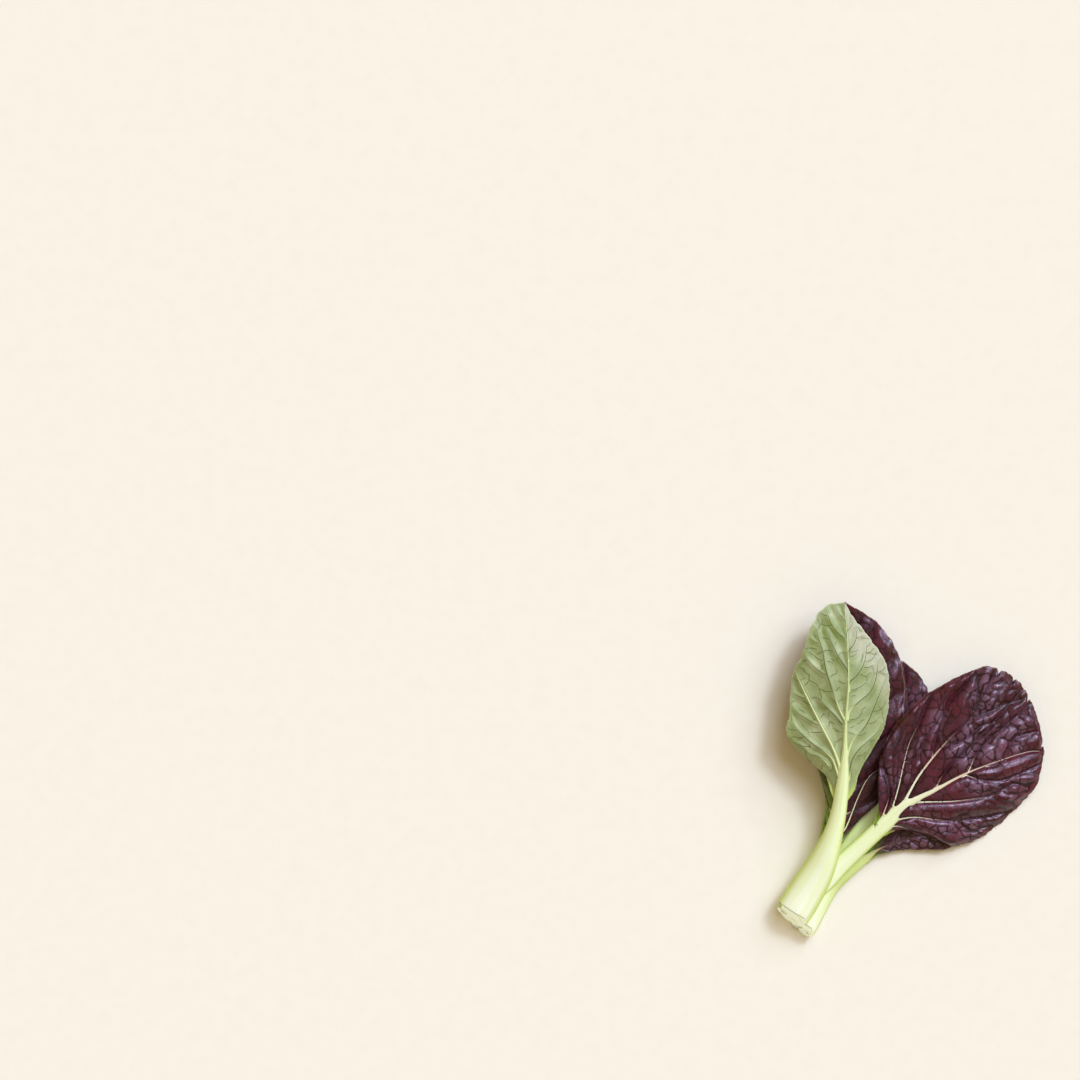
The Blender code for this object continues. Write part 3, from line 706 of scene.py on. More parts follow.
def at(curve, share):
    """The curve's numbers at these shares of its length."""
    shares, samples = curve
    return np.stack([np.interp(share, shares, column) for column in samples.T], axis=-1)


def unit(vectors):
    return vectors / np.maximum(np.linalg.norm(vectors, axis=-1, keepdims=True), TINY)


def directions(curve, share):
    """Unit directions along the curve."""
    ahead = at(curve, np.minimum(share + DIRECTION_STEP, 1))[..., :3]
    behind = at(curve, np.maximum(share - DIRECTION_STEP, 0))[..., :3]
    return unit(ahead - behind)


def leftward(along):
    """Level unit directions to the left of these."""
    return unit(np.stack([-along[..., 1], along[..., 0], 0 * along[..., 0]], axis=-1))


def cross_axes(curve, share):
    """Unit directions to the left and upward, square to the curve."""
    along = directions(curve, share)
    side = leftward(along)
    return side, np.cross(along, side)


def turns(sides):
    """The angles of the sides of a round section."""
    return np.arange(sides) * 2 * math.pi / sides


def band(rings, sides, corners=OUTWARD):
    """The four-cornered faces between each ring and the next."""
    faces = []
    for i in range(rings - 1):
        for j in range(sides):
            faces.append(tuple((i + ring) * sides + (j + step) % sides for ring, step in corners))
    return faces


def ring_face(number, sides):
    """One face across the ring of this number."""
    return tuple(range(number * sides, (number + 1) * sides))


def cut_normal():
    level = math.cos(CUT_LEAN)
    return np.array([math.cos(CUT_BEARING) * level, math.sin(CUT_BEARING) * level, math.sin(CUT_LEAN)])


def moved_to_cut(points):
    """The points slid along the direction of growth until they lie on the plane of the cut."""
    normal, growth = cut_normal(), np.array(GROWTH)
    far = (np.array(CUT_POINT) - points) @ normal / (growth @ normal)
    return points + far[:, None] * growth


def smoothstep(low, high, value):
    t = np.clip((value - low) / (high - low), 0, 1)
    return t * t * (3 - 2 * t)


def ripples(flat, wavelength, seed):
    """A smooth random height, about -1 to 1, at each of these points of a plane."""
    rng = np.random.default_rng(seed)
    total = np.zeros(flat.shape[:-1])
    for _ in range(RIPPLE_WAVES):
        bearing = rng.uniform(0, 2 * math.pi)
        pitch = 2 * math.pi / (wavelength * rng.uniform(*RIPPLE_SPREAD))
        phase = rng.uniform(0, 2 * math.pi)
        total += np.sin(pitch * (flat[..., 0] * math.cos(bearing) + flat[..., 1] * math.sin(bearing)) + phase)
    return total / math.sqrt(2 * RIPPLE_WAVES)


def spaced(points, step):
    """The smooth curve through these points, as points about that far apart."""
    points = np.array(points, float)
    length = np.linalg.norm(np.diff(points, axis=0), axis=1).sum()
    count = max(2, math.ceil(length / step) + 1)
    return at(smooth_curve(points), np.linspace(0, 1, count))


def spots(flat, listed):
    """Soft round patches, each given as x, y, radius and strength: their sum, up to 1, at each point."""
    total = np.zeros(flat.shape[:-1])
    for x, y, radius, strength in listed:
        total += strength * np.exp(-((flat[..., 0] - x) ** 2 + (flat[..., 1] - y) ** 2) / radius**2)
    return np.minimum(total, 1)


def near_tree(points):
    tree = kdtree.KDTree(len(points))
    for i, point in enumerate(points):
        tree.insert((point[0], point[1], 0), i)
    tree.balance()
    return tree


def distances(tree, flat):
    """The distance from each point of a plane to the nearest one in the tree."""
    found = [tree.find((x, y, 0))[2] for x, y in flat.reshape(-1, 2).tolist()]
    return np.array(found).reshape(flat.shape[:-1])


def rib_numbers(leaf, share):
    """The midrib's stations at these shares, with the rib slimmer beyond the foot of the blade."""
    numbers = at(leaf["curve"], share)
    rib_share = (share - leaf["blade_from"]) / (1 - leaf["blade_from"])
    slim = 1 - leaf["slim"] * smoothstep(*leaf["slim_over"], rib_share)
    stout = 1 + (leaf["stout"] - 1) * (1 - smoothstep(*STOUT_OVER, share))
    numbers[..., 3] *= slim * (1 + STOUT_WIDENING * (stout - 1))
    numbers[..., 4] *= (1 - SLIM_THINNING * (1 - slim)) * stout
    return numbers


def half_blade(leaf, side, rows, columns):
    """The smooth middle surface of the left (side 1) or right (side -1) half, and its shape numbers."""
    margin = smooth_curve(leaf["left" if side > 0 else "right"])
    u = np.linspace(0, 1, rows + 1)
    v = np.linspace(0, 1, columns + 1)[None, :]
    begin = leaf["blade_from"]
    share = begin + (1 - begin) * (u - SWEEP * np.sin(math.pi * u))
    rib = rib_numbers(leaf, share)
    along = directions(leaf["curve"], share)
    out = leftward(along) * side
    inner = rib[:, :2] + out[:, :2] * (RIB_TUCK * rib[:, 3])[:, None]
    outer = at(margin, u)
    reach = np.linalg.norm(outer - inner, axis=1)
    outward = (outer - inner) / np.maximum(reach, 0.01)[:, None]
    free = np.minimum(1, ENDS_CALM * np.sin(math.pi * u))
    uneven = MARGIN_UNEVENNESS * free * ripples(outer, MARGIN_WAVELENGTH, leaf["seed"] + side)
    uneven += FINE_UNEVENNESS * free * ripples(outer, FINE_WAVELENGTH, leaf["seed"] + 5 * side)
    for notch in leaf["notches"]:
        away = np.linalg.norm(outer - np.array(notch), axis=1)
        if away.min() < NOTCH_NEAR:
            away = np.linalg.norm(outer - outer[away.argmin()], axis=1)
            uneven -= NOTCH_DEPTH * np.maximum(0, 1 - away / NOTCH_WIDTH)
    outer = outer + outward * uneven[:, None]
    outer = inner + (outer - inner) * smoothstep(-FOOT_START, FOOT_TAPER, u)[:, None]
    bend = (inner + outer) / 2 - along[:, :2] * (ARCH * reach)[:, None]
    w = v[..., None]
    flat = (1 - w) ** 2 * inner[:, None] + 2 * w * (1 - w) * bend[:, None] + w**2 * outer[:, None]
    breadth = (reach / reach.max())[:, None]
    lift = leaf["lift"][0 if side > 0 else 1]
    amplitude, count, phase = leaf["waves"]
    wave = amplitude * np.sin(2 * math.pi * (count * u + phase + WAVE_OFFSET * side))[:, None]
    z = rib[:, 2:3] + breadth * (lift * v**LIFT_POWER + wave * v**2)
    frill = ripples(outer, FRILL_WAVELENGTH, leaf["seed"] + 7 * side)
    z = z + FRILL * free[:, None] * v**4 * frill[:, None]
    from_margin = (1 - v) * reach[:, None]
    shape = {"u": u[:, None] + 0 * v, "v": v + 0 * u[:, None], "from_margin": from_margin}
    shape["run"] = v * reach[:, None]
    shape["climb"] = u[:, None] * BLADE_LENGTH + 0 * v
    return flat, z, shape


def leaf_veins(leaf):
    """The veins that leave the midrib and their branches, each as (points, foot half width, pale share)."""
    veins = []
    rib = leaf["curve"][1]
    for width, pale, points in leaf["veins"]:
        first = np.array(points[0])
        nearest = np.argmin(np.linalg.norm(rib[:, :2] - first, axis=1))
        towards_foot = rib[max(nearest - ROOT_SAMPLES, 0), :2] - rib[nearest, :2]
        towards_foot /= max(np.linalg.norm(towards_foot), 0.01)
        inside = first + ROOT_SHARE * (rib[nearest, :2] - first) + VEIN_ROOT * towards_foot
        veins.append((spaced([inside, *points], VEIN_STEP), width, pale))
    for width, pale, points in leaf["branches"]:
        veins.append((spaced(points, VEIN_STEP), width, pale))
    if leaf["own_vein"]:
        for side in (1, -1):
            flat, _, _ = half_blade(leaf, side, ROWS_A_VEIN * HIDDEN_VEINS, ROWS_A_VEIN)
            for k in range(1, HIDDEN_VEINS):
                veins.append((spaced(flat[ROWS_A_VEIN * k, :-1], VEIN_STEP), *leaf["own_vein"]))
    return veins


def net_lines(leaf, blade_points, veins):
    """The fine net between the veins: the borders of cells round jittered seeds, as short crooked lines."""
    rng = np.random.default_rng(leaf["seed"])
    inside = near_tree(blade_points[::NET_SAMPLING])
    low = blade_points.min(axis=0)
    high = blade_points.max(axis=0)
    cell = leaf["net_cell"]
    seeds = []
    for j, y in enumerate(np.arange(low[1] - cell, high[1] + cell, NET_ROW * cell)):
        for x in np.arange(low[0] - cell + 0.5 * cell * (j % 2), high[0] + cell, cell):
            seed = np.array([x, y]) + rng.uniform(-NET_JITTER, NET_JITTER, 2) * cell
            if inside.find((*seed, 0))[2] < cell:
                seeds.append(seed)
    made = delaunay_2d_cdt([Vector(seed) for seed in seeds], [], [], 0, 1e-6)
    points = np.array([tuple(point) for point in made[0]])
    middles = []
    sharing = {}
    for k, (i, j, m) in enumerate(made[2]):
        a, b, c = points[i], points[j], points[m]
        double = 2 * (a[0] * (b[1] - c[1]) + b[0] * (c[1] - a[1]) + c[0] * (a[1] - b[1]))
        squares = [a @ a, b @ b, c @ c]
        x = (squares[0] * (b[1] - c[1]) + squares[1] * (c[1] - a[1]) + squares[2] * (a[1] - b[1])) / double
        y = (squares[0] * (c[0] - b[0]) + squares[1] * (a[0] - c[0]) + squares[2] * (b[0] - a[0])) / double
        middles.append(np.array([x, y]))
        for edge in ((i, j), (j, m), (m, i)):
            sharing.setdefault(tuple(sorted(edge)), []).append(k)
    vein_tree = near_tree(np.vstack([vein[0] for vein in veins]))
    clearances = []
    for vein in veins:
        clearances.extend([VEIN_CLEARANCE + VEIN_SPREAD * vein[1]] * len(vein[0]))
    rib_tree = near_tree(at(leaf["curve"], np.linspace(0, 1, CURVE_SAMPLES)))
    lines = []
    for pair in sharing.values():
        if len(pair) < 2:
            continue
        start, end = middles[pair[0]], middles[pair[1]]
        length = np.linalg.norm(end - start)
        crook = rng.uniform(-NET_CROOK, NET_CROOK, 2)
        if length < NET_SHORTEST or length > NET_LONGEST * cell or rng.uniform() > leaf["net_kept"]:
            continue
        across = np.array([start[1] - end[1], end[0] - start[0]])
        near = 0.65 * start + 0.35 * end + crook[0] * across
        far = 0.3 * start + 0.7 * end + crook[1] * across
        line = spaced([start, near, far, end], NET_STEP)
        kept = []
        for point in line:
            where = (*point, 0)
            _, nearest, gap = vein_tree.find(where)
            clear = gap > clearances[nearest] and rib_tree.find(where)[2] > RIB_CLEARANCE
            if clear and inside.find(where)[2] < NET_EDGE:
                kept.append(point)
        if len(kept) > 2:
            lines.append((np.array(kept), rng.uniform(*NET_WEIGHTS)))
    return lines


def pillow(distance, width, valley):
    """Rises from 0 at a vein to 1 at this distance from it, level at the top, with a round valley."""
    climbed = np.sqrt(distance**2 + valley**2) - valley
    return 1 - (1 - np.minimum(climbed / width, 1)) ** 2


def shell(grid):
    """A closed thin body round a grid of middle points: its points, faces, and 1 for each point on top."""
    rows, columns = grid.shape[:2]
    normal = unit(np.cross(np.gradient(grid, axis=0), np.gradient(grid, axis=1)))
    normal *= np.sign(normal[..., 2:3] + TINY)
    half = BLADE_THICKNESS / 2
    top = grid + normal * half
    bottom = grid - normal * half
    bottom[..., 2] = np.maximum(bottom[..., 2], 0.0)
    numbers = np.arange(rows * columns).reshape(rows, columns)
    corners = [numbers[:-1, :-1], numbers[:-1, 1:], numbers[1:, 1:], numbers[1:, :-1]]
    quads = np.stack(corners, axis=-1).reshape(-1, 4)
    below = quads[:, ::-1] + rows * columns
    rim = np.concatenate([numbers[0, :-1], numbers[:-1, -1], numbers[-1, :0:-1], numbers[:0:-1, 0]])
    after = np.roll(rim, -1)
    walls = np.stack([rim, after, after + rows * columns, rim + rows * columns], axis=-1)[:, ::-1]
    faces = np.vstack([quads, below, walls])
    points = np.vstack([top.reshape(-1, 3), bottom.reshape(-1, 3)])
    on_top = np.concatenate([np.ones(rows * columns), np.zeros(rows * columns)])
    return points, faces, on_top


def make_piece(name, points, faces, masks, material):
    """An object from points in millimetres, with each mask as a number on every point."""
    mesh = bpy.data.meshes.new(name)
    mesh.from_pydata((np.array(points) * MM).tolist(), [], [list(face) for face in faces])
    for key, values in masks.items():
        layer = mesh.attributes.new(key, "FLOAT", "POINT")
        layer.data.foreach_set("value", np.array(values, np.float32))
    mesh.update()
    mesh.shade_smooth()
    mesh.materials.append(material)
    obj = bpy.data.objects.new(name, mesh)
    bpy.context.scene.collection.objects.link(obj)
    return obj


def blade_halves(leaf, veins):
    """Both halves of a blade with its relief, as (grid of middle points, masks), and its fine lines."""
    rows, columns = leaf["grid"]
    halves = [half_blade(leaf, side, rows, columns) for side in (1, -1)]
    inner_points = [flat[shape["from_margin"] > NET_MARGIN] for flat, _, shape in halves]
    net = net_lines(leaf, np.vstack(inner_points), veins)
    creases = [spaced(line, NET_STEP) for line in leaf["fine"]]
    rib = at(leaf["curve"], np.linspace(leaf["blade_from"], 1, RIB_SAMPLES))[:, :2]
    main_tree = near_tree(np.vstack([rib, *[vein[0] for vein in veins]]))
    net_tree = near_tree(np.vstack([spaced(line, LINE_SAMPLING) for line, _ in net]))
    crease_tree = net_tree
    if creases:
        crease_tree = near_tree(np.vstack([spaced(line, LINE_SAMPLING) for line in creases]))
    made = []
    for (flat, z, shape), side in zip(halves, (1, -1)):
        to_main = distances(main_tree, flat)
        to_net = distances(net_tree, flat)
        to_crease = distances(crease_tree, flat) if creases else to_net
        settled = smoothstep(0, SETTLE_OVER, shape["from_margin"]) * (1 - SETTLED_LEAST) + SETTLED_LEAST
        relief = leaf["relief"] * pillow(to_main, leaf["bulge"], MAIN_VALLEY) * settled
        cell = pillow(to_net, NET_SHOULDER, NET_VALLEY)
        sheen = spots(flat, leaf["sheen"])
        relief += leaf["net_relief"] * (NET_BASE + sheen) * cell * settled * smoothstep(*NET_FLAT, to_main)
        folded = pillow(to_crease, CREASE_SHOULDER, CREASE_VALLEY)
        relief += leaf["crease_relief"] * folded * settled * smoothstep(*CREASE_FLAT, to_main)
        sway = ripples(flat, SWAY_WAVELENGTH, leaf["seed"] + 3)
        relief += leaf["sway"] * sway * smoothstep(0, SWAY_FLAT, to_main)
        z = np.maximum(z + relief * smoothstep(0, FOOT_FLAT, shape["u"]), BLADE_THICKNESS / 2)
        grid = np.concatenate([flat, z[..., None]], axis=-1)
        # The groove mask darkens the top there: partly the lines' own dark colour, partly painted shade.
        groove = np.exp(-((to_net / NET_LINE) ** 2))
        groove = np.maximum(leaf["net_groove"] * groove, np.exp(-((to_main / MAIN_LINE) ** 2)))
        groove = np.maximum(groove, np.exp(-((to_crease / CREASE_LINE) ** 2)))
        wing_u, wing_v = leaf["wing"][0 if side > 0 else 1]
        wing = 1 - smoothstep(WING_SOLID * wing_u, wing_u, shape["u"])
        wing = wing * (1 - WING_FADE * smoothstep(wing_v, 1.0, shape["v"]))
        # The strip of painted light along the right margin, where the fold turns to the light.
        painted_light_side = 0 * z
        if leaf["painted_light_strip"] and side < 0:
            heights, widths, blurs, amounts = np.array(leaf["painted_light_strip"], float).T
            over = shape["from_margin"] - np.interp(flat[..., 1], heights, widths)
            over /= np.interp(flat[..., 1], heights, blurs)
            painted_light_side = 1 - smoothstep(-STRIP_BLUR, STRIP_BLUR, over)
            painted_light_side *= np.interp(flat[..., 1], heights, amounts)
        masks = {
            "groove": groove,
            "sheen": sheen,
            "shade": spots(flat, leaf["shade"]),
            "painted_light_side": painted_light_side,
            "cell": cell,
            "run": shape["run"],
            "climb": shape["climb"],
            # rim: the pale margin, partly its own colour and partly painted highlight.
            "rim": np.exp(-((shape["from_margin"] / RIM_WIDTH) ** 2)),
            "edge": 1 - smoothstep(*EDGE_BAND, shape["from_margin"]),
            "wing": wing,
            "far": shape["u"],
        }
        made.append((grid, masks))
    return made, net + [(line, FINE_WEIGHT) for line in creases]


def blade_piece(name, leaf, made, material):
    """The blade's object, with its upper or its lower face marked as the green one."""
    points, faces, masks = [], [], {}
    first = 0
    for grid, half_masks in made:
        half_points, half_faces, on_top = shell(grid)
        points.append(half_points)
        faces.append(half_faces + first)
        first += len(half_points)
        for key, values in half_masks.items():
            masks.setdefault(key, []).append(np.tile(values.reshape(-1), 2))
        masks.setdefault("green", []).append(on_top if leaf["green_up"] else 1 - on_top)
    masks = {key: np.concatenate(values) for key, values in masks.items()}
    return make_piece(name, np.vstack(points), np.vstack(faces), masks, material)


def blade_top(made):
    """A search tree of the upper face, to lay the veins on."""
    points, faces = [], []
    first = 0
    for grid, _ in made:
        half_points, half_faces, _ = shell(grid)
        size = grid.shape[0] * grid.shape[1]
        kept = (grid.shape[0] - 1) * (grid.shape[1] - 1)
        points.extend(half_points[:size].tolist())
        faces.extend((half_faces[:kept] + first).tolist())
        first += size
    return BVHTree.FromPolygons(points, faces)


def laid(tree, flat, leaf):
    """Points and normals of the upper face at these points of the plan."""
    points, normals = [], []
    for x, y in flat:
        hit, normal, _, _ = tree.ray_cast(Vector((x, y, ABOVE_ALL)), Vector((0, 0, -1)))
        if hit is None:
            hit, normal, _, _ = tree.find_nearest(Vector((x, y, leaf["height"])))
            hit = Vector((x, y, hit.z))
            normal = Vector((0, 0, 1))
        points.append(tuple(hit))
        normals.append(tuple(normal))
    points, normals = np.array(points), np.array(normals)
    normals *= np.sign(normals[:, 2:3] + TINY)
    return points, normals


def evened(values):
    """Each row averaged with its neighbours along the line, both ends kept."""
    padded = np.vstack([values[:1], values[:1], values, values[-1:], values[-1:]])
    even = sum(padded[k : k + len(values)] for k in range(5)) / 5
    even[0], even[-1] = values[0], values[-1]
    return even


def tube(points, normals, halves, heights):
    """A tapered vein with a flattened round section. Returns points and faces."""
    count = len(points)
    side = unit(np.cross(normals, unit(np.gradient(points, axis=0))))
    angles = turns(VEIN_SIDES)
    made = []
    for i in range(count):
        across = np.outer(np.cos(angles) * halves[i], side[i])
        rise = np.outer(np.sin(angles) * heights[i], normals[i])
        made.append(points[i] + across + rise)
    ends = [ring_face(0, VEIN_SIDES)[::-1], ring_face(count - 1, VEIN_SIDES)]
    return np.vstack(made), band(count, VEIN_SIDES) + ends


def strip(points, normals, halves, rise):
    """A thin raised line with a low ridge, laid on the face."""
    count = len(points)
    side = unit(np.cross(normals, np.gradient(points, axis=0)))
    left = points + side * halves[:, None] - normals * LINE_SINK
    middle = points + normals * rise
    right = points - side * halves[:, None] - normals * LINE_SINK
    made = np.stack([left, middle, right], axis=1).reshape(-1, 3)
    faces = []
    for i in range(count - 1):
        a = 3 * i
        faces.append((a, a + 1, a + 4, a + 3))
        faces.append((a + 1, a + 2, a + 5, a + 4))
    return made, faces


class Body:
    """Points, faces and masks of a piece, gathered from its parts."""

    def __init__(self):
        self.points = []
        self.faces = []
        self.masks = {}
        self.count = 0

    def add(self, points, faces, masks):
        self.points.append(points)
        self.faces.extend(tuple(corner + self.count for corner in face) for face in faces)
        self.count += len(points)
        for key, values in masks.items():
            self.masks.setdefault(key, []).append(np.broadcast_to(values, (len(points),)))

    def piece(self, name, material):
        masks = {key: np.concatenate(values) for key, values in self.masks.items()}
        return make_piece(name, np.vstack(self.points), self.faces, masks, material)


def stalk_rings(leaf, end, at_cut):
    """A stalk's rings from the cut to this share of its length, their shares, and each point's side."""
    lower = np.linspace(0, FINE_RINGS_TO, STALK_RINGS)
    upper = np.linspace(FINE_RINGS_TO, end, STALK_RINGS)[1:]
    shares = np.concatenate([lower, upper])
    numbers = rib_numbers(leaf, shares)
    side, up = cross_axes(leaf["curve"], shares)
    angles = turns(STALK_SIDES)
    rng = np.random.default_rng(leaf["seed"])
    ridge = 0
    for k in RIDGE_COUNTS:
        ridge = ridge + rng.uniform(*RIDGE_STRENGTHS) * np.sin(k * angles + rng.uniform(0, 2 * math.pi))
    ridge *= RIDGE_HEIGHT / np.abs(ridge).max()
    rings, sideways = [], []
    for k, (x, y, z, half, thick, bow, roll) in enumerate(numbers):
        point = min(1.0, (end - shares[k]) / TIP_TAPER + TIP_SHARE)
        fine = 1 + ridge / max(half, RIDGE_LEAST_HALF)
        across = half * point * np.cos(angles) * fine
        rise = bow * (1 - np.cos(angles) ** 2) + thick * point / 2 * np.sin(angles) * fine
        turn = math.radians(roll)
        leftward_by = across * math.cos(turn) - rise * math.sin(turn)
        upward_by = across * math.sin(turn) + rise * math.cos(turn)
        rings.append(np.array([x, y, z]) + np.outer(leftward_by, side[k]) + np.outer(upward_by, up[k]))
        sideways.append(leftward_by / np.abs(leftward_by).max())
    if at_cut:
        first = rings[0]
        nicks = rng.uniform(0, 1, STALK_SIDES) ** NICK_RARITY * NICK_DEPTH
        rings[0] = moved_to_cut(first) + nicks[:, None] * np.array(GROWTH)
    for ring in rings:
        ring[:, 2] = np.maximum(ring[:, 2], 0.0)
    return rings, shares, np.concatenate(sideways)


def add_stalk(body, leaf, at_cut):
    """The stalk with the midrib that it runs into, and its cap at the cut. Returns its first ring."""
    rings, shares, sideways = stalk_rings(leaf, RIB_REACH, at_cut)
    count = len(rings)
    begin = leaf["blade_from"]
    rib_share = np.clip((shares - begin) / (1 - begin), 0, 1)
    tint = leaf["rib_tint"] * smoothstep(*leaf["rib_fade"], rib_share)
    masks = {
        "share": np.repeat(shares, STALK_SIDES),
        "across": np.where(sideways > 0, leaf["left_edge"] * sideways, sideways),
        "around": np.tile(np.sin(turns(STALK_SIDES)), count),
        "tint": np.repeat(tint, STALK_SIDES),
        "lime": leaf["lime"],
    }
    faces = [*band(count, STALK_SIDES), ring_face(count - 1, STALK_SIDES)]
    body.add(np.vstack(rings), faces, STALK_MASKS | masks)
    add_cap(body, rings[0], at_cut)
    return rings[0]


def add_cap(body, ring, at_cut):
    """The cut face of a stalk: a thin skin, then flesh, slightly hollow towards the middle."""
    middle = ring.mean(axis=0)
    inward = -cut_normal()
    points, flesh = [], []
    for scale, depth, soft in CAP_STEPS:
        points.append(middle + (ring - middle) * scale + inward * depth)
        flesh.append(np.full(len(ring), soft if at_cut else 0.0))
    faces = [*band(len(CAP_STEPS), STALK_SIDES, INWARD), ring_face(len(CAP_STEPS) - 1, STALK_SIDES)[::-1]]
    body.add(np.vstack(points), faces, STALK_MASKS | {"flesh": np.concatenate(flesh)})


def add_veins(body, leaf, veins, net, top):
    """The veins as tapered ridges and the net as thin lines, all laid on the upper face."""
    for flat, foot, pale in veins:
        points, normals = laid(top, flat, leaf)
        points, normals = evened(points), evened(normals)
        travelled = np.concatenate([[0], np.cumsum(np.linalg.norm(np.diff(points, axis=0), axis=1))])
        part = travelled / travelled[-1]
        flare = FLARE_WIDTH * np.exp(-travelled / VEIN_FLARE) if foot > THIN_VEIN else 0.0
        half = foot * (VEIN_TIP + VEIN_TAPER * (1 - part) + flare)
        half *= 1 - VEIN_END_THINNING * smoothstep(*VEIN_END, part)
        risen = ROOT_HEIGHT + (1 - ROOT_HEIGHT) * smoothstep(0, ROOT_RISE, travelled)
        height = half * VEIN_HEIGHT * risen
        points = points - normals * (VEIN_SINK * height)[:, None]
        tint = smoothstep(PALE_START * pale - PALE_BLEND, max(pale, PALE_BLEND), part)
        made, faces = tube(points, normals, half, height)
        masks = {"share": VEIN_SHARE, "tint": np.repeat(tint, VEIN_SIDES), "lime": leaf["lime"]}
        body.add(made, faces, STALK_MASKS | masks)
    for line, weight in net:
        points, normals = laid(top, line, leaf)
        tapered = np.minimum(1, LINE_ENDS + LINE_SWELL * np.sin(np.linspace(0, math.pi, len(line))))
        halves = weight * leaf["net_width"] * tapered
        made, faces = strip(points, normals, halves, leaf["net_rise"])
        body.add(made, faces, STALK_MASKS | {"share": LINE_SHARE, "tint": 1.0, "line": 1.0})


class Shader:
    """A material's nodes, added one at a time and joined by their sockets."""

    def __init__(self, name):
        self.material = bpy.data.materials.new(name)
        self.material.use_nodes = True
        self.tree = self.material.node_tree
        self.surface = self.tree.nodes["Principled BSDF"]

    def put(self, socket, value):
        if isinstance(value, bpy.types.NodeSocket):
            self.tree.links.new(value, socket)
        else:
            socket.default_value = value

    def node(self, kind, settings, inputs, output=0):
        made = self.tree.nodes.new(kind)
        for key, value in settings.items():
            setattr(made, key, value)
        for key, value in inputs.items():
            self.put(made.inputs[key], value)
        return made.outputs[output]

    def mask(self, name):
        return self.node("ShaderNodeAttribute", {"attribute_name": name}, {}, "Fac")

    def place(self):
        return self.node("ShaderNodeTexCoord", {}, {}, "Object")

    def noise(self, where, scale, detail=3.0, roughness=0.5):
        inputs = {"Vector": where, "Scale": scale, "Detail": detail, "Roughness": roughness}
        return self.node("ShaderNodeTexNoise", {}, inputs, "Fac")

    def cells(self, where, scale):
        settings = {"feature": "DISTANCE_TO_EDGE"}
        return self.node("ShaderNodeTexVoronoi", settings, {"Vector": where, "Scale": scale}, "Distance")

    def ranged(self, value, low, high, to_low=0.0, to_high=1.0):
        inputs = {"Value": value, "From Min": low, "From Max": high, "To Min": to_low, "To Max": to_high}
        return self.node("ShaderNodeMapRange", {}, inputs)

    def times(self, first, second):
        return self.node("ShaderNodeMath", {"operation": "MULTIPLY"}, {0: first, 1: second})

    def plus(self, first, second):
        return self.node("ShaderNodeMath", {"operation": "ADD"}, {0: first, 1: second})

    def mix(self, factor, first, second):
        inputs = {0: factor, 6: first, 7: second}
        return self.node("ShaderNodeMix", {"data_type": "RGBA"}, inputs, 2)

    def joined(self, x, y, z):
        return self.node("ShaderNodeCombineXYZ", {}, {0: x, 1: y, 2: z})

    def bump(self, height, strength, distance):
        inputs = {"Height": height, "Strength": strength, "Distance": distance}
        return self.node("ShaderNodeBump", {}, inputs)

    def stretched(self, x, y, z, detail):
        """Noise in these three numbers in place of a point in space."""
        return self.noise(self.joined(*(self.times(*pair) for pair in (x, y, z))), 1.0, detail)

    def set(self, **inputs):
        for key, value in inputs.items():
            self.put(self.surface.inputs[key.replace("_", " ")], value)


def rgb(red, green, blue):
    """A colour given as on a screen, 0 to 255, as the shader wants it."""
    shares = [value / 255 for value in (red, green, blue)]
    linear = [s / 12.92 if s <= 0.04045 else ((s + 0.055) / 1.055) ** 2.4 for s in shares]
    return (*linear, 1.0)


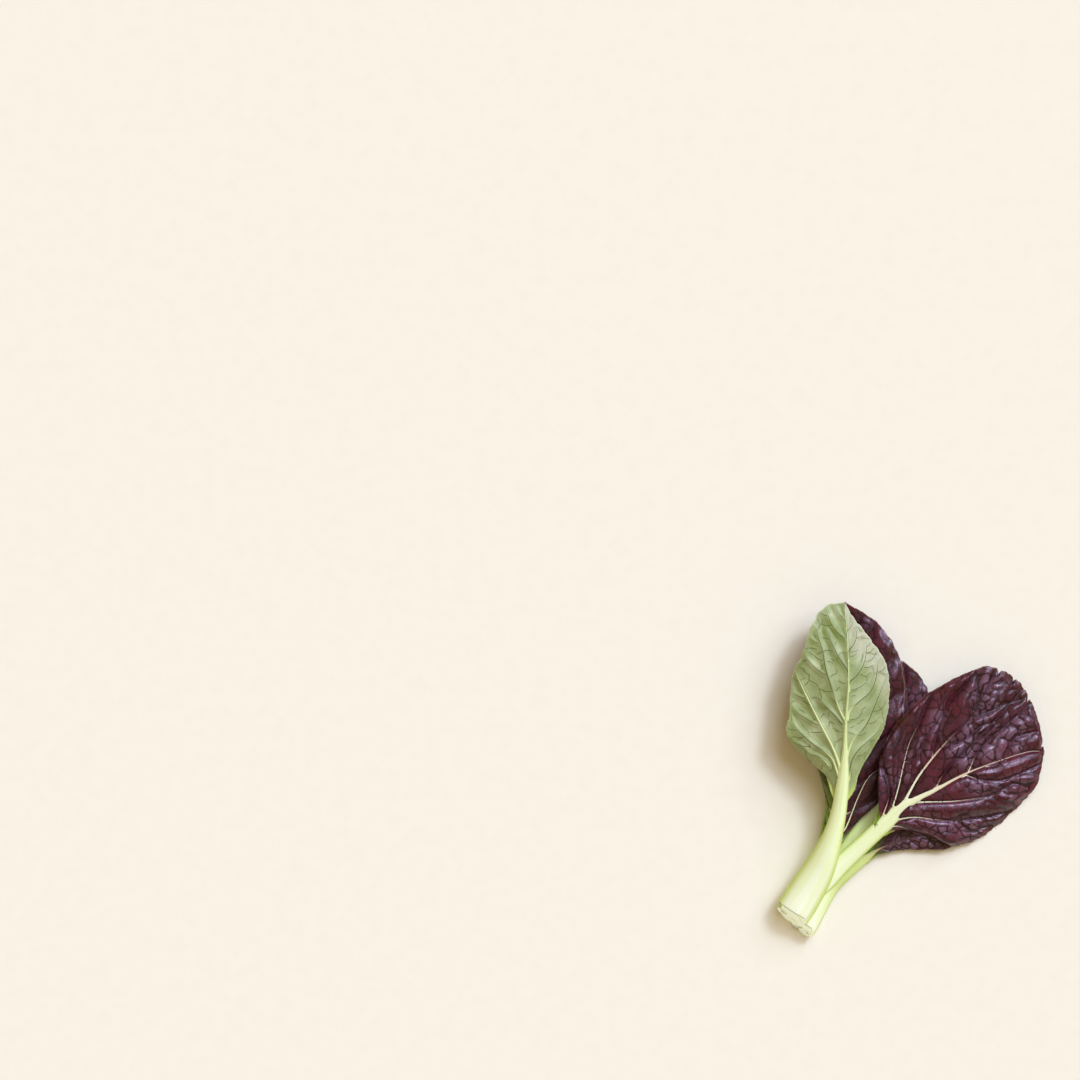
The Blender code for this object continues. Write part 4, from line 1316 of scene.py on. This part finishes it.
def stalk_material(name, upper_colour, middle_colour, far_colour, line_colour):
    """Crisp pale stalk with soft streaks, greener at its edges, a faint painted glow that is brighter on cut
    flesh, and the veins that run out of it.
    """
    s = Shader(name)
    across, around, share = s.mask("across"), s.mask("around"), s.mask("share")
    lime = s.mask("lime")
    streaks = s.stretched((across, 3.2), (around, 3.2), (share, 3.0), 2.0)
    lines = s.stretched((across, 9.0), (around, 9.0), (share, 4.0), 3.0)
    fibres = s.stretched((across, 34.0), (around, 34.0), (share, 9.0), 3.0)
    body = s.mix(s.ranged(share, 0.0, 0.30), rgb(253, 255, 236), rgb(243, 252, 204))
    body = s.mix(s.ranged(share, 0.30, 0.70), body, rgb(*upper_colour))
    body = s.mix(s.ranged(streaks, 0.44, 0.70, 0.0, 0.45), body, rgb(230, 240, 142))
    body = s.mix(s.ranged(lines, 0.50, 0.72, 0.0, 0.4), body, rgb(224, 236, 132))
    body = s.mix(s.ranged(fibres, 0.5, 0.75, 0.0, 0.3), body, rgb(252, 253, 238))
    body = s.mix(s.times(lime, s.ranged(share, 0.04, 0.28, 0.1, 0.85)), body, rgb(184, 200, 54))
    edge = s.node("ShaderNodeMath", {"operation": "ABSOLUTE"}, {0: across})
    edge = s.times(s.ranged(edge, 0.60, 0.98, 0.0, 0.95), s.ranged(share, 0.50, 0.30))
    body = s.mix(edge, body, rgb(192, 206, 52))
    tint = s.mask("tint")
    middle = s.mix(lime, rgb(*middle_colour), rgb(168, 148, 76))
    body = s.mix(s.ranged(tint, 0.0, 0.5), body, middle)
    body = s.mix(s.ranged(tint, 0.5, 1.0), body, rgb(*far_colour))
    body = s.mix(s.mask("line"), body, rgb(*line_colour))
    grain = s.noise(s.place(), 900.0, 4.0)
    flesh = s.mix(s.ranged(grain, 0.35, 0.65), rgb(248, 249, 222), rgb(254, 254, 240))
    body = s.mix(s.mask("flesh"), body, flesh)
    relief = s.plus(s.times(fibres, 0.7), s.times(grain, 0.3))
    off_lines = s.ranged(s.mask("line"), 0.0, 1.0, 1.0, 0.0)
    off_tint = s.ranged(tint, 0.0, 0.6, 1.0, 0.0)
    # Painted glow: faint on the skin, stronger on the cut flesh, fading out on the lines and the tinted
    # veins.
    glow = s.ranged(s.mask("flesh"), 0.0, 1.0, STALK_GLOW, GLOW_STRENGTH)
    glow = s.times(glow, s.times(off_lines, off_tint))
    s.set(
        Base_Color=body,
        Roughness=s.ranged(streaks, 0.3, 0.7, 0.34, 0.46),
        Normal=s.bump(relief, 0.25, 0.0001),
        Subsurface_Weight=0.12,
        Subsurface_Scale=0.0015,
        Emission_Color=FLESH_GLOW,
        Emission_Strength=glow,
    )
    s.surface.inputs["Subsurface Radius"].default_value = (1.0, 1.0, 0.5)
    return s.material


def dark_blade_material():
    """Glossy puckered maroon top with waxy lavender and painted sheen on its raised cells, painted shade in
    patches and grooves and a partly painted highlight on its rim, and a dull green underside.
    """
    s = Shader("bok_choy_blade_purple_look")
    where = s.place()
    patches = s.noise(where, 75.0)
    freckles = s.noise(where, 210.0)
    fine = s.noise(where, 1400.0)
    crackle = s.cells(where, 820.0)
    wrinkles = s.stretched((s.mask("run"), 1.5), (s.mask("climb"), 0.35), (0.0, 0.0), 2.0)
    top = s.mix(s.ranged(patches, 0.38, 0.66), rgb(66, 14, 28), rgb(94, 24, 40))
    # Painted shade: darker patches where the blade turns from the light, and on the back leaf the shadow of
    # the leaves over it.
    top = s.mix(s.times(s.mask("shade"), 0.85), top, rgb(56, 9, 14))
    # Waxy lavender on the crowns of the cells where the sheen patches lie: partly the wax's own colour,
    # partly painted sheen.
    bloom_and_sheen = s.times(s.ranged(s.mask("cell"), 0.2, 0.65), s.ranged(freckles, 0.40, 0.60, 0.5, 1.0))
    bloom_and_sheen = s.times(bloom_and_sheen, s.ranged(s.mask("sheen"), 0.0, 0.8, 0.1, 1.0))
    top = s.mix(bloom_and_sheen, top, rgb(124, 92, 114))
    olive = s.times(s.mask("edge"), s.ranged(s.noise(where, 110.0), 0.5, 0.66, 0.0, 0.7))
    top = s.mix(olive, top, rgb(80, 52, 30))
    # The grooves by the veins, the net and the creases darken: partly the lines' own colour, partly painted
    # shade.
    top = s.mix(s.ranged(s.mask("groove"), 0.1, 0.9, 0.0, 0.95), top, rgb(24, 5, 9))
    top = s.mix(s.ranged(crackle, 0.0, 0.06, 0.3, 0.0), top, rgb(34, 10, 18))
    # The pale rim along the margin: partly its own colour, partly painted highlight.
    top = s.mix(s.ranged(s.mask("rim"), 0.3, 1.0, 0.0, 0.75), top, rgb(168, 128, 104))
    fresh = s.mix(s.ranged(patches, 0.4, 0.6), rgb(92, 124, 34), rgb(126, 158, 50))
    fresh = s.mix(s.ranged(s.mask("edge"), 0.75, 1.0), fresh, rgb(172, 200, 76))
    top = s.mix(s.mask("wing"), top, fresh)
    under = s.mix(s.ranged(patches, 0.35, 0.65), rgb(126, 136, 92), rgb(112, 96, 84))
    under = s.mix(s.ranged(s.mask("groove"), 0.2, 1.0, 0.0, 0.5), under, rgb(168, 172, 122))
    colour = s.mix(s.mask("green"), top, under)
    rough = s.plus(s.ranged(fine, 0.3, 0.7, 0.22, 0.34), s.times(s.mask("groove"), 0.2))
    relief = s.plus(wrinkles, s.plus(s.ranged(crackle, 0.0, 0.25, 0.0, 0.4), s.times(fine, 0.3)))
    s.set(
        Base_Color=colour,
        Roughness=rough,
        Normal=s.bump(relief, 0.45, 0.0001),
        Specular_IOR_Level=0.55,
        Specular_Tint=(1.0, 0.84, 1.0, 1.0),
    )
    return s.material


def green_blade_material():
    """Matt grey-green underside, darker along its net, with painted sheen and shade in patches, painted shade
    in the valleys by the net, painted light whitening one half and a partly painted highlight on its rim,
    over the dark top.
    """
    s = Shader("bok_choy_blade_green_look")
    where = s.place()
    patches = s.noise(where, 95.0)
    freckles = s.noise(where, 230.0)
    fine = s.noise(where, 1600.0)
    crackle = s.cells(where, 700.0)
    wrinkles = s.stretched((s.mask("run"), 1.2), (s.mask("climb"), 0.4), (0.0, 0.0), 2.0)
    face = s.mix(s.ranged(patches, 0.35, 0.65), rgb(140, 152, 94), rgb(170, 180, 130))
    face = s.mix(s.ranged(freckles, 0.48, 0.68, 0.0, 0.35), face, rgb(190, 200, 152))
    # Painted sheen lightens patches beside the veins. The shade patches are partly olive and partly painted
    # shade.
    face = s.mix(s.times(s.mask("sheen"), 0.75), face, rgb(206, 213, 174))
    face = s.mix(s.times(s.mask("shade"), 0.75), face, rgb(124, 140, 58))
    # Painted light whitens the strip along the right margin, where the fold turns to the light.
    face = s.mix(s.times(s.mask("painted_light_side"), 0.75), face, rgb(196, 192, 168))
    low = s.times(s.ranged(s.mask("far"), 0.5, 0.1), s.mask("edge"))
    face = s.mix(s.times(low, 0.7), face, rgb(154, 178, 84))
    # Painted shade in the valleys next to the net's lines, where the cells dip.
    face = s.mix(s.ranged(s.mask("cell"), 0.7, 0.0, 0.0, 0.5), face, rgb(128, 142, 80))
    face = s.mix(s.ranged(crackle, 0.0, 0.06, 0.25, 0.0), face, rgb(130, 140, 92))
    face = s.mix(s.mask("wing"), face, rgb(192, 210, 108))
    # The pale rim along the margin: partly its own colour, partly painted highlight.
    face = s.mix(s.ranged(s.mask("rim"), 0.3, 1.0, 0.0, 0.9), face, rgb(224, 224, 188))
    dark = s.mix(patches, rgb(56, 18, 30), rgb(84, 22, 32))
    colour = s.mix(s.mask("green"), dark, face)
    small = s.plus(s.ranged(crackle, 0.0, 0.25, 0.0, 0.5), s.times(fine, 0.4))
    relief = s.plus(s.times(wrinkles, 1.2), small)
    s.set(
        Base_Color=colour,
        Roughness=s.ranged(fine, 0.3, 0.7, 0.46, 0.62),
        Normal=s.bump(relief, 0.4, 0.00008),
        Subsurface_Weight=0.05,
        Subsurface_Scale=0.0008,
    )
    return s.material


def core_material():
    """Moist grainy cut face and the brown of its torn bits, all with a faint painted glow."""
    s = Shader("bok_choy_core_look")
    where = s.place()
    grain = s.noise(where, 700.0, 5.0, 0.6)
    blotches = s.noise(where, 260.0)
    colour = s.mix(s.ranged(grain, 0.35, 0.65), rgb(248, 249, 222), rgb(254, 254, 240))
    colour = s.mix(s.ranged(blotches, 0.56, 0.70, 0.0, 0.25), colour, rgb(222, 230, 166))
    scar = s.mix(s.ranged(grain, 0.4, 0.6), rgb(146, 104, 36), rgb(196, 170, 80))
    colour = s.mix(s.mask("scar"), colour, scar)
    s.set(
        Base_Color=colour,
        Roughness=s.ranged(grain, 0.3, 0.7, 0.4, 0.6),
        Normal=s.bump(grain, 0.4, 0.0001),
        Subsurface_Weight=0.12,
        Subsurface_Scale=0.0015,
        # Painted glow over the whole cut face and its torn bits.
        Emission_Color=FLESH_GLOW,
        Emission_Strength=GLOW_STRENGTH,
    )
    return s.material


def floor_material():
    s = Shader("floor_look")
    grain = s.noise(s.place(), 220.0, 4.0)
    colour = s.mix(s.ranged(grain, 0.3, 0.7), rgb(249, 241, 227), rgb(251, 243, 230))
    s.set(Base_Color=colour, Roughness=0.75, Normal=s.bump(grain, 0.05, 0.0002))
    return s.material


def fuller(values):
    """The sides of an ellipse, swollen towards a rounded box."""
    return np.sign(values) * np.abs(values) ** CORE_SQUARENESS


def core_piece(material, rims):
    """The short stem with its cut face, rough along the edge, and torn bits on the rims of the cut."""
    curve = smooth_curve(CORE)
    shares = np.linspace(0, 1, CORE_RINGS)
    numbers = at(curve, shares)
    side, up = cross_axes(curve, shares)
    angles = turns(STALK_SIDES)
    rng = np.random.default_rng(CORE_SEED)
    ragged = 1 + rng.uniform(-CORE_RAGGEDNESS, CORE_RAGGEDNESS, STALK_SIDES)
    body = Body()
    rings = []
    for k, (x, y, z, half, thick, _, _) in enumerate(numbers):
        across = half * CORE_FULLNESS[0] * fuller(np.cos(angles)) * ragged
        rise = thick * CORE_FULLNESS[1] / 2 * fuller(np.sin(angles)) * ragged
        rings.append(np.array([x, y, z]) + np.outer(across, side[k]) + np.outer(rise, up[k]))
    rings[0] = moved_to_cut(rings[0]) - cut_normal() * CORE_RECESS
    for ring in rings:
        ring[:, 2] = np.maximum(ring[:, 2], 0.0)
    faces = [*band(CORE_RINGS, STALK_SIDES), ring_face(CORE_RINGS - 1, STALK_SIDES)]
    body.add(np.vstack(rings), faces, {"scar": 0.0})
    middle = rings[0].mean(axis=0)
    points = []
    for scale in CORE_FACE_SCALES:
        ring = middle + (rings[0] - middle) * scale
        rough = CORE_FACE_ROUGHNESS * ripples(ring[:, :2] + ring[:, 2:], CORE_FACE_WAVELENGTH, CORE_SEED)
        ring += cut_normal() * rough[:, None]
        points.append(ring if scale < 1 else rings[0])
    last = len(CORE_FACE_SCALES) - 1
    faces = [*band(last + 1, STALK_SIDES, INWARD), ring_face(last, STALK_SIDES)[::-1]]
    body.add(np.vstack(points), faces, {"scar": 0.0})
    rims = np.vstack([rings[0], *rims])
    for x, y, size in TORN_BITS:
        nearest = np.argmin(np.linalg.norm(rims[:, :2] - (x, y), axis=1))
        add_torn_bit(body, rims[nearest] + cut_normal() * BIT_RISE * size, size, rng)
    return body.piece("core_look", material)


def add_torn_bit(body, where, size, rng):
    """A small ragged lump."""
    points = []
    for i in range(BIT_ROWS):
        tall = math.pi * (i + 0.5) / BIT_ROWS
        for j in range(BIT_COLUMNS):
            turn = 2 * math.pi * j / BIT_COLUMNS
            radius = size * rng.uniform(*BIT_UNEVENNESS)
            level = math.sin(tall)
            towards = [level * math.cos(turn), level * math.sin(turn), BIT_FLATNESS * math.cos(tall)]
            points.append(where + radius * np.array(towards))
    faces = band(BIT_ROWS, BIT_COLUMNS, BIT_CORNERS)
    faces += [ring_face(0, BIT_COLUMNS), ring_face(BIT_ROWS - 1, BIT_COLUMNS)[::-1]]
    body.add(np.array(points), faces, {"scar": 1.0})


def dress(name, leaf, blade_look, stalk_look):
    """One leaf: its blade, and its stalk with all the veins. Returns the first ring of the stalk."""
    leaf["curve"] = smooth_curve(leaf["stations"])
    leaf["height"] = max(station[2] for station in leaf["stations"])
    veins = leaf_veins(leaf)
    made, net = blade_halves(leaf, veins)
    blade = blade_piece(name + "_blade_look", leaf, made, blade_look)
    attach(blade, "root")
    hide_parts(name + "_blade")
    body = Body()
    foot = add_stalk(body, leaf, name != "right")
    add_veins(body, leaf, veins, net, blade_top(made))
    stalk = body.piece(name + "_stalk_look", stalk_look)
    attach(stalk, "root")
    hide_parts(name + "_stalk")
    return foot


def broad_light(name, towards, spread, strength, colour):
    light = bpy.data.lights.new(name, "SUN")
    light.angle = spread
    light.energy = strength
    light.color = colour
    obj = bpy.data.objects.new(name, light)
    obj.rotation_euler = Vector(towards).to_track_quat("Z", "Y").to_euler()
    bpy.context.scene.collection.objects.link(obj)


def set_stage():
    """Pale floor, soft daylight from the upper right, and the camera straight above."""
    mesh = bpy.data.meshes.new("floor")
    reach = FLOOR_REACH
    plan = [(-reach, -reach), (reach, -reach), (reach, reach), (-reach, reach)]
    mesh.from_pydata([(*corner, FLOOR_Z) for corner in plan], [], [(0, 1, 2, 3)])
    mesh.materials.append(floor_material())
    floor = bpy.data.objects.new("floor", mesh)
    bpy.context.scene.collection.objects.link(floor)
    broad_light("key", KEY_SIDE, KEY_SPREAD, KEY_STRENGTH, KEY_COLOUR)
    broad_light("glint", KEY_SIDE, GLINT_SPREAD, GLINT_STRENGTH, KEY_COLOUR)
    world = bpy.data.worlds.new("room")
    world.use_nodes = True
    background = world.node_tree.nodes["Background"]
    background.inputs["Color"].default_value = ROOM_COLOUR
    background.inputs["Strength"].default_value = ROOM_STRENGTH
    bpy.context.scene.world = world
    bpy.context.scene.view_settings.view_transform = "Standard"
    camera = bpy.data.cameras.new("camera")
    camera.lens = CAMERA_LENS
    camera.sensor_width = CAMERA_SENSOR
    obj = bpy.data.objects.new("camera", camera)
    obj.location = [value * MM for value in CAMERA_PLACE]
    bpy.context.scene.collection.objects.link(obj)
    bpy.context.scene.camera = obj


def main():
    set_stage()
    dark_blade = dark_blade_material()
    green_blade = green_blade_material()
    dark_stalk = stalk_material("bok_choy_stalk_look", CREAM, PINK_VEIN, DARK_VEIN, DARK_LINE)
    front_colours = (SPRING_GREEN, GREEN_VEIN, OLIVE_VEIN, OLIVE_LINE)
    green_stalk = stalk_material("bok_choy_front_stalk_look", *front_colours)
    rims = []
    for name, leaf in LEAVES.items():
        leaf.update(LOOKS[name])
        if name == "front":
            rims.append(dress(name, leaf, green_blade, green_stalk))
        else:
            rims.append(dress(name, leaf, dark_blade, dark_stalk))
    core = core_piece(core_material(), rims)
    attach(core, "root")
    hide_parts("core")


main()
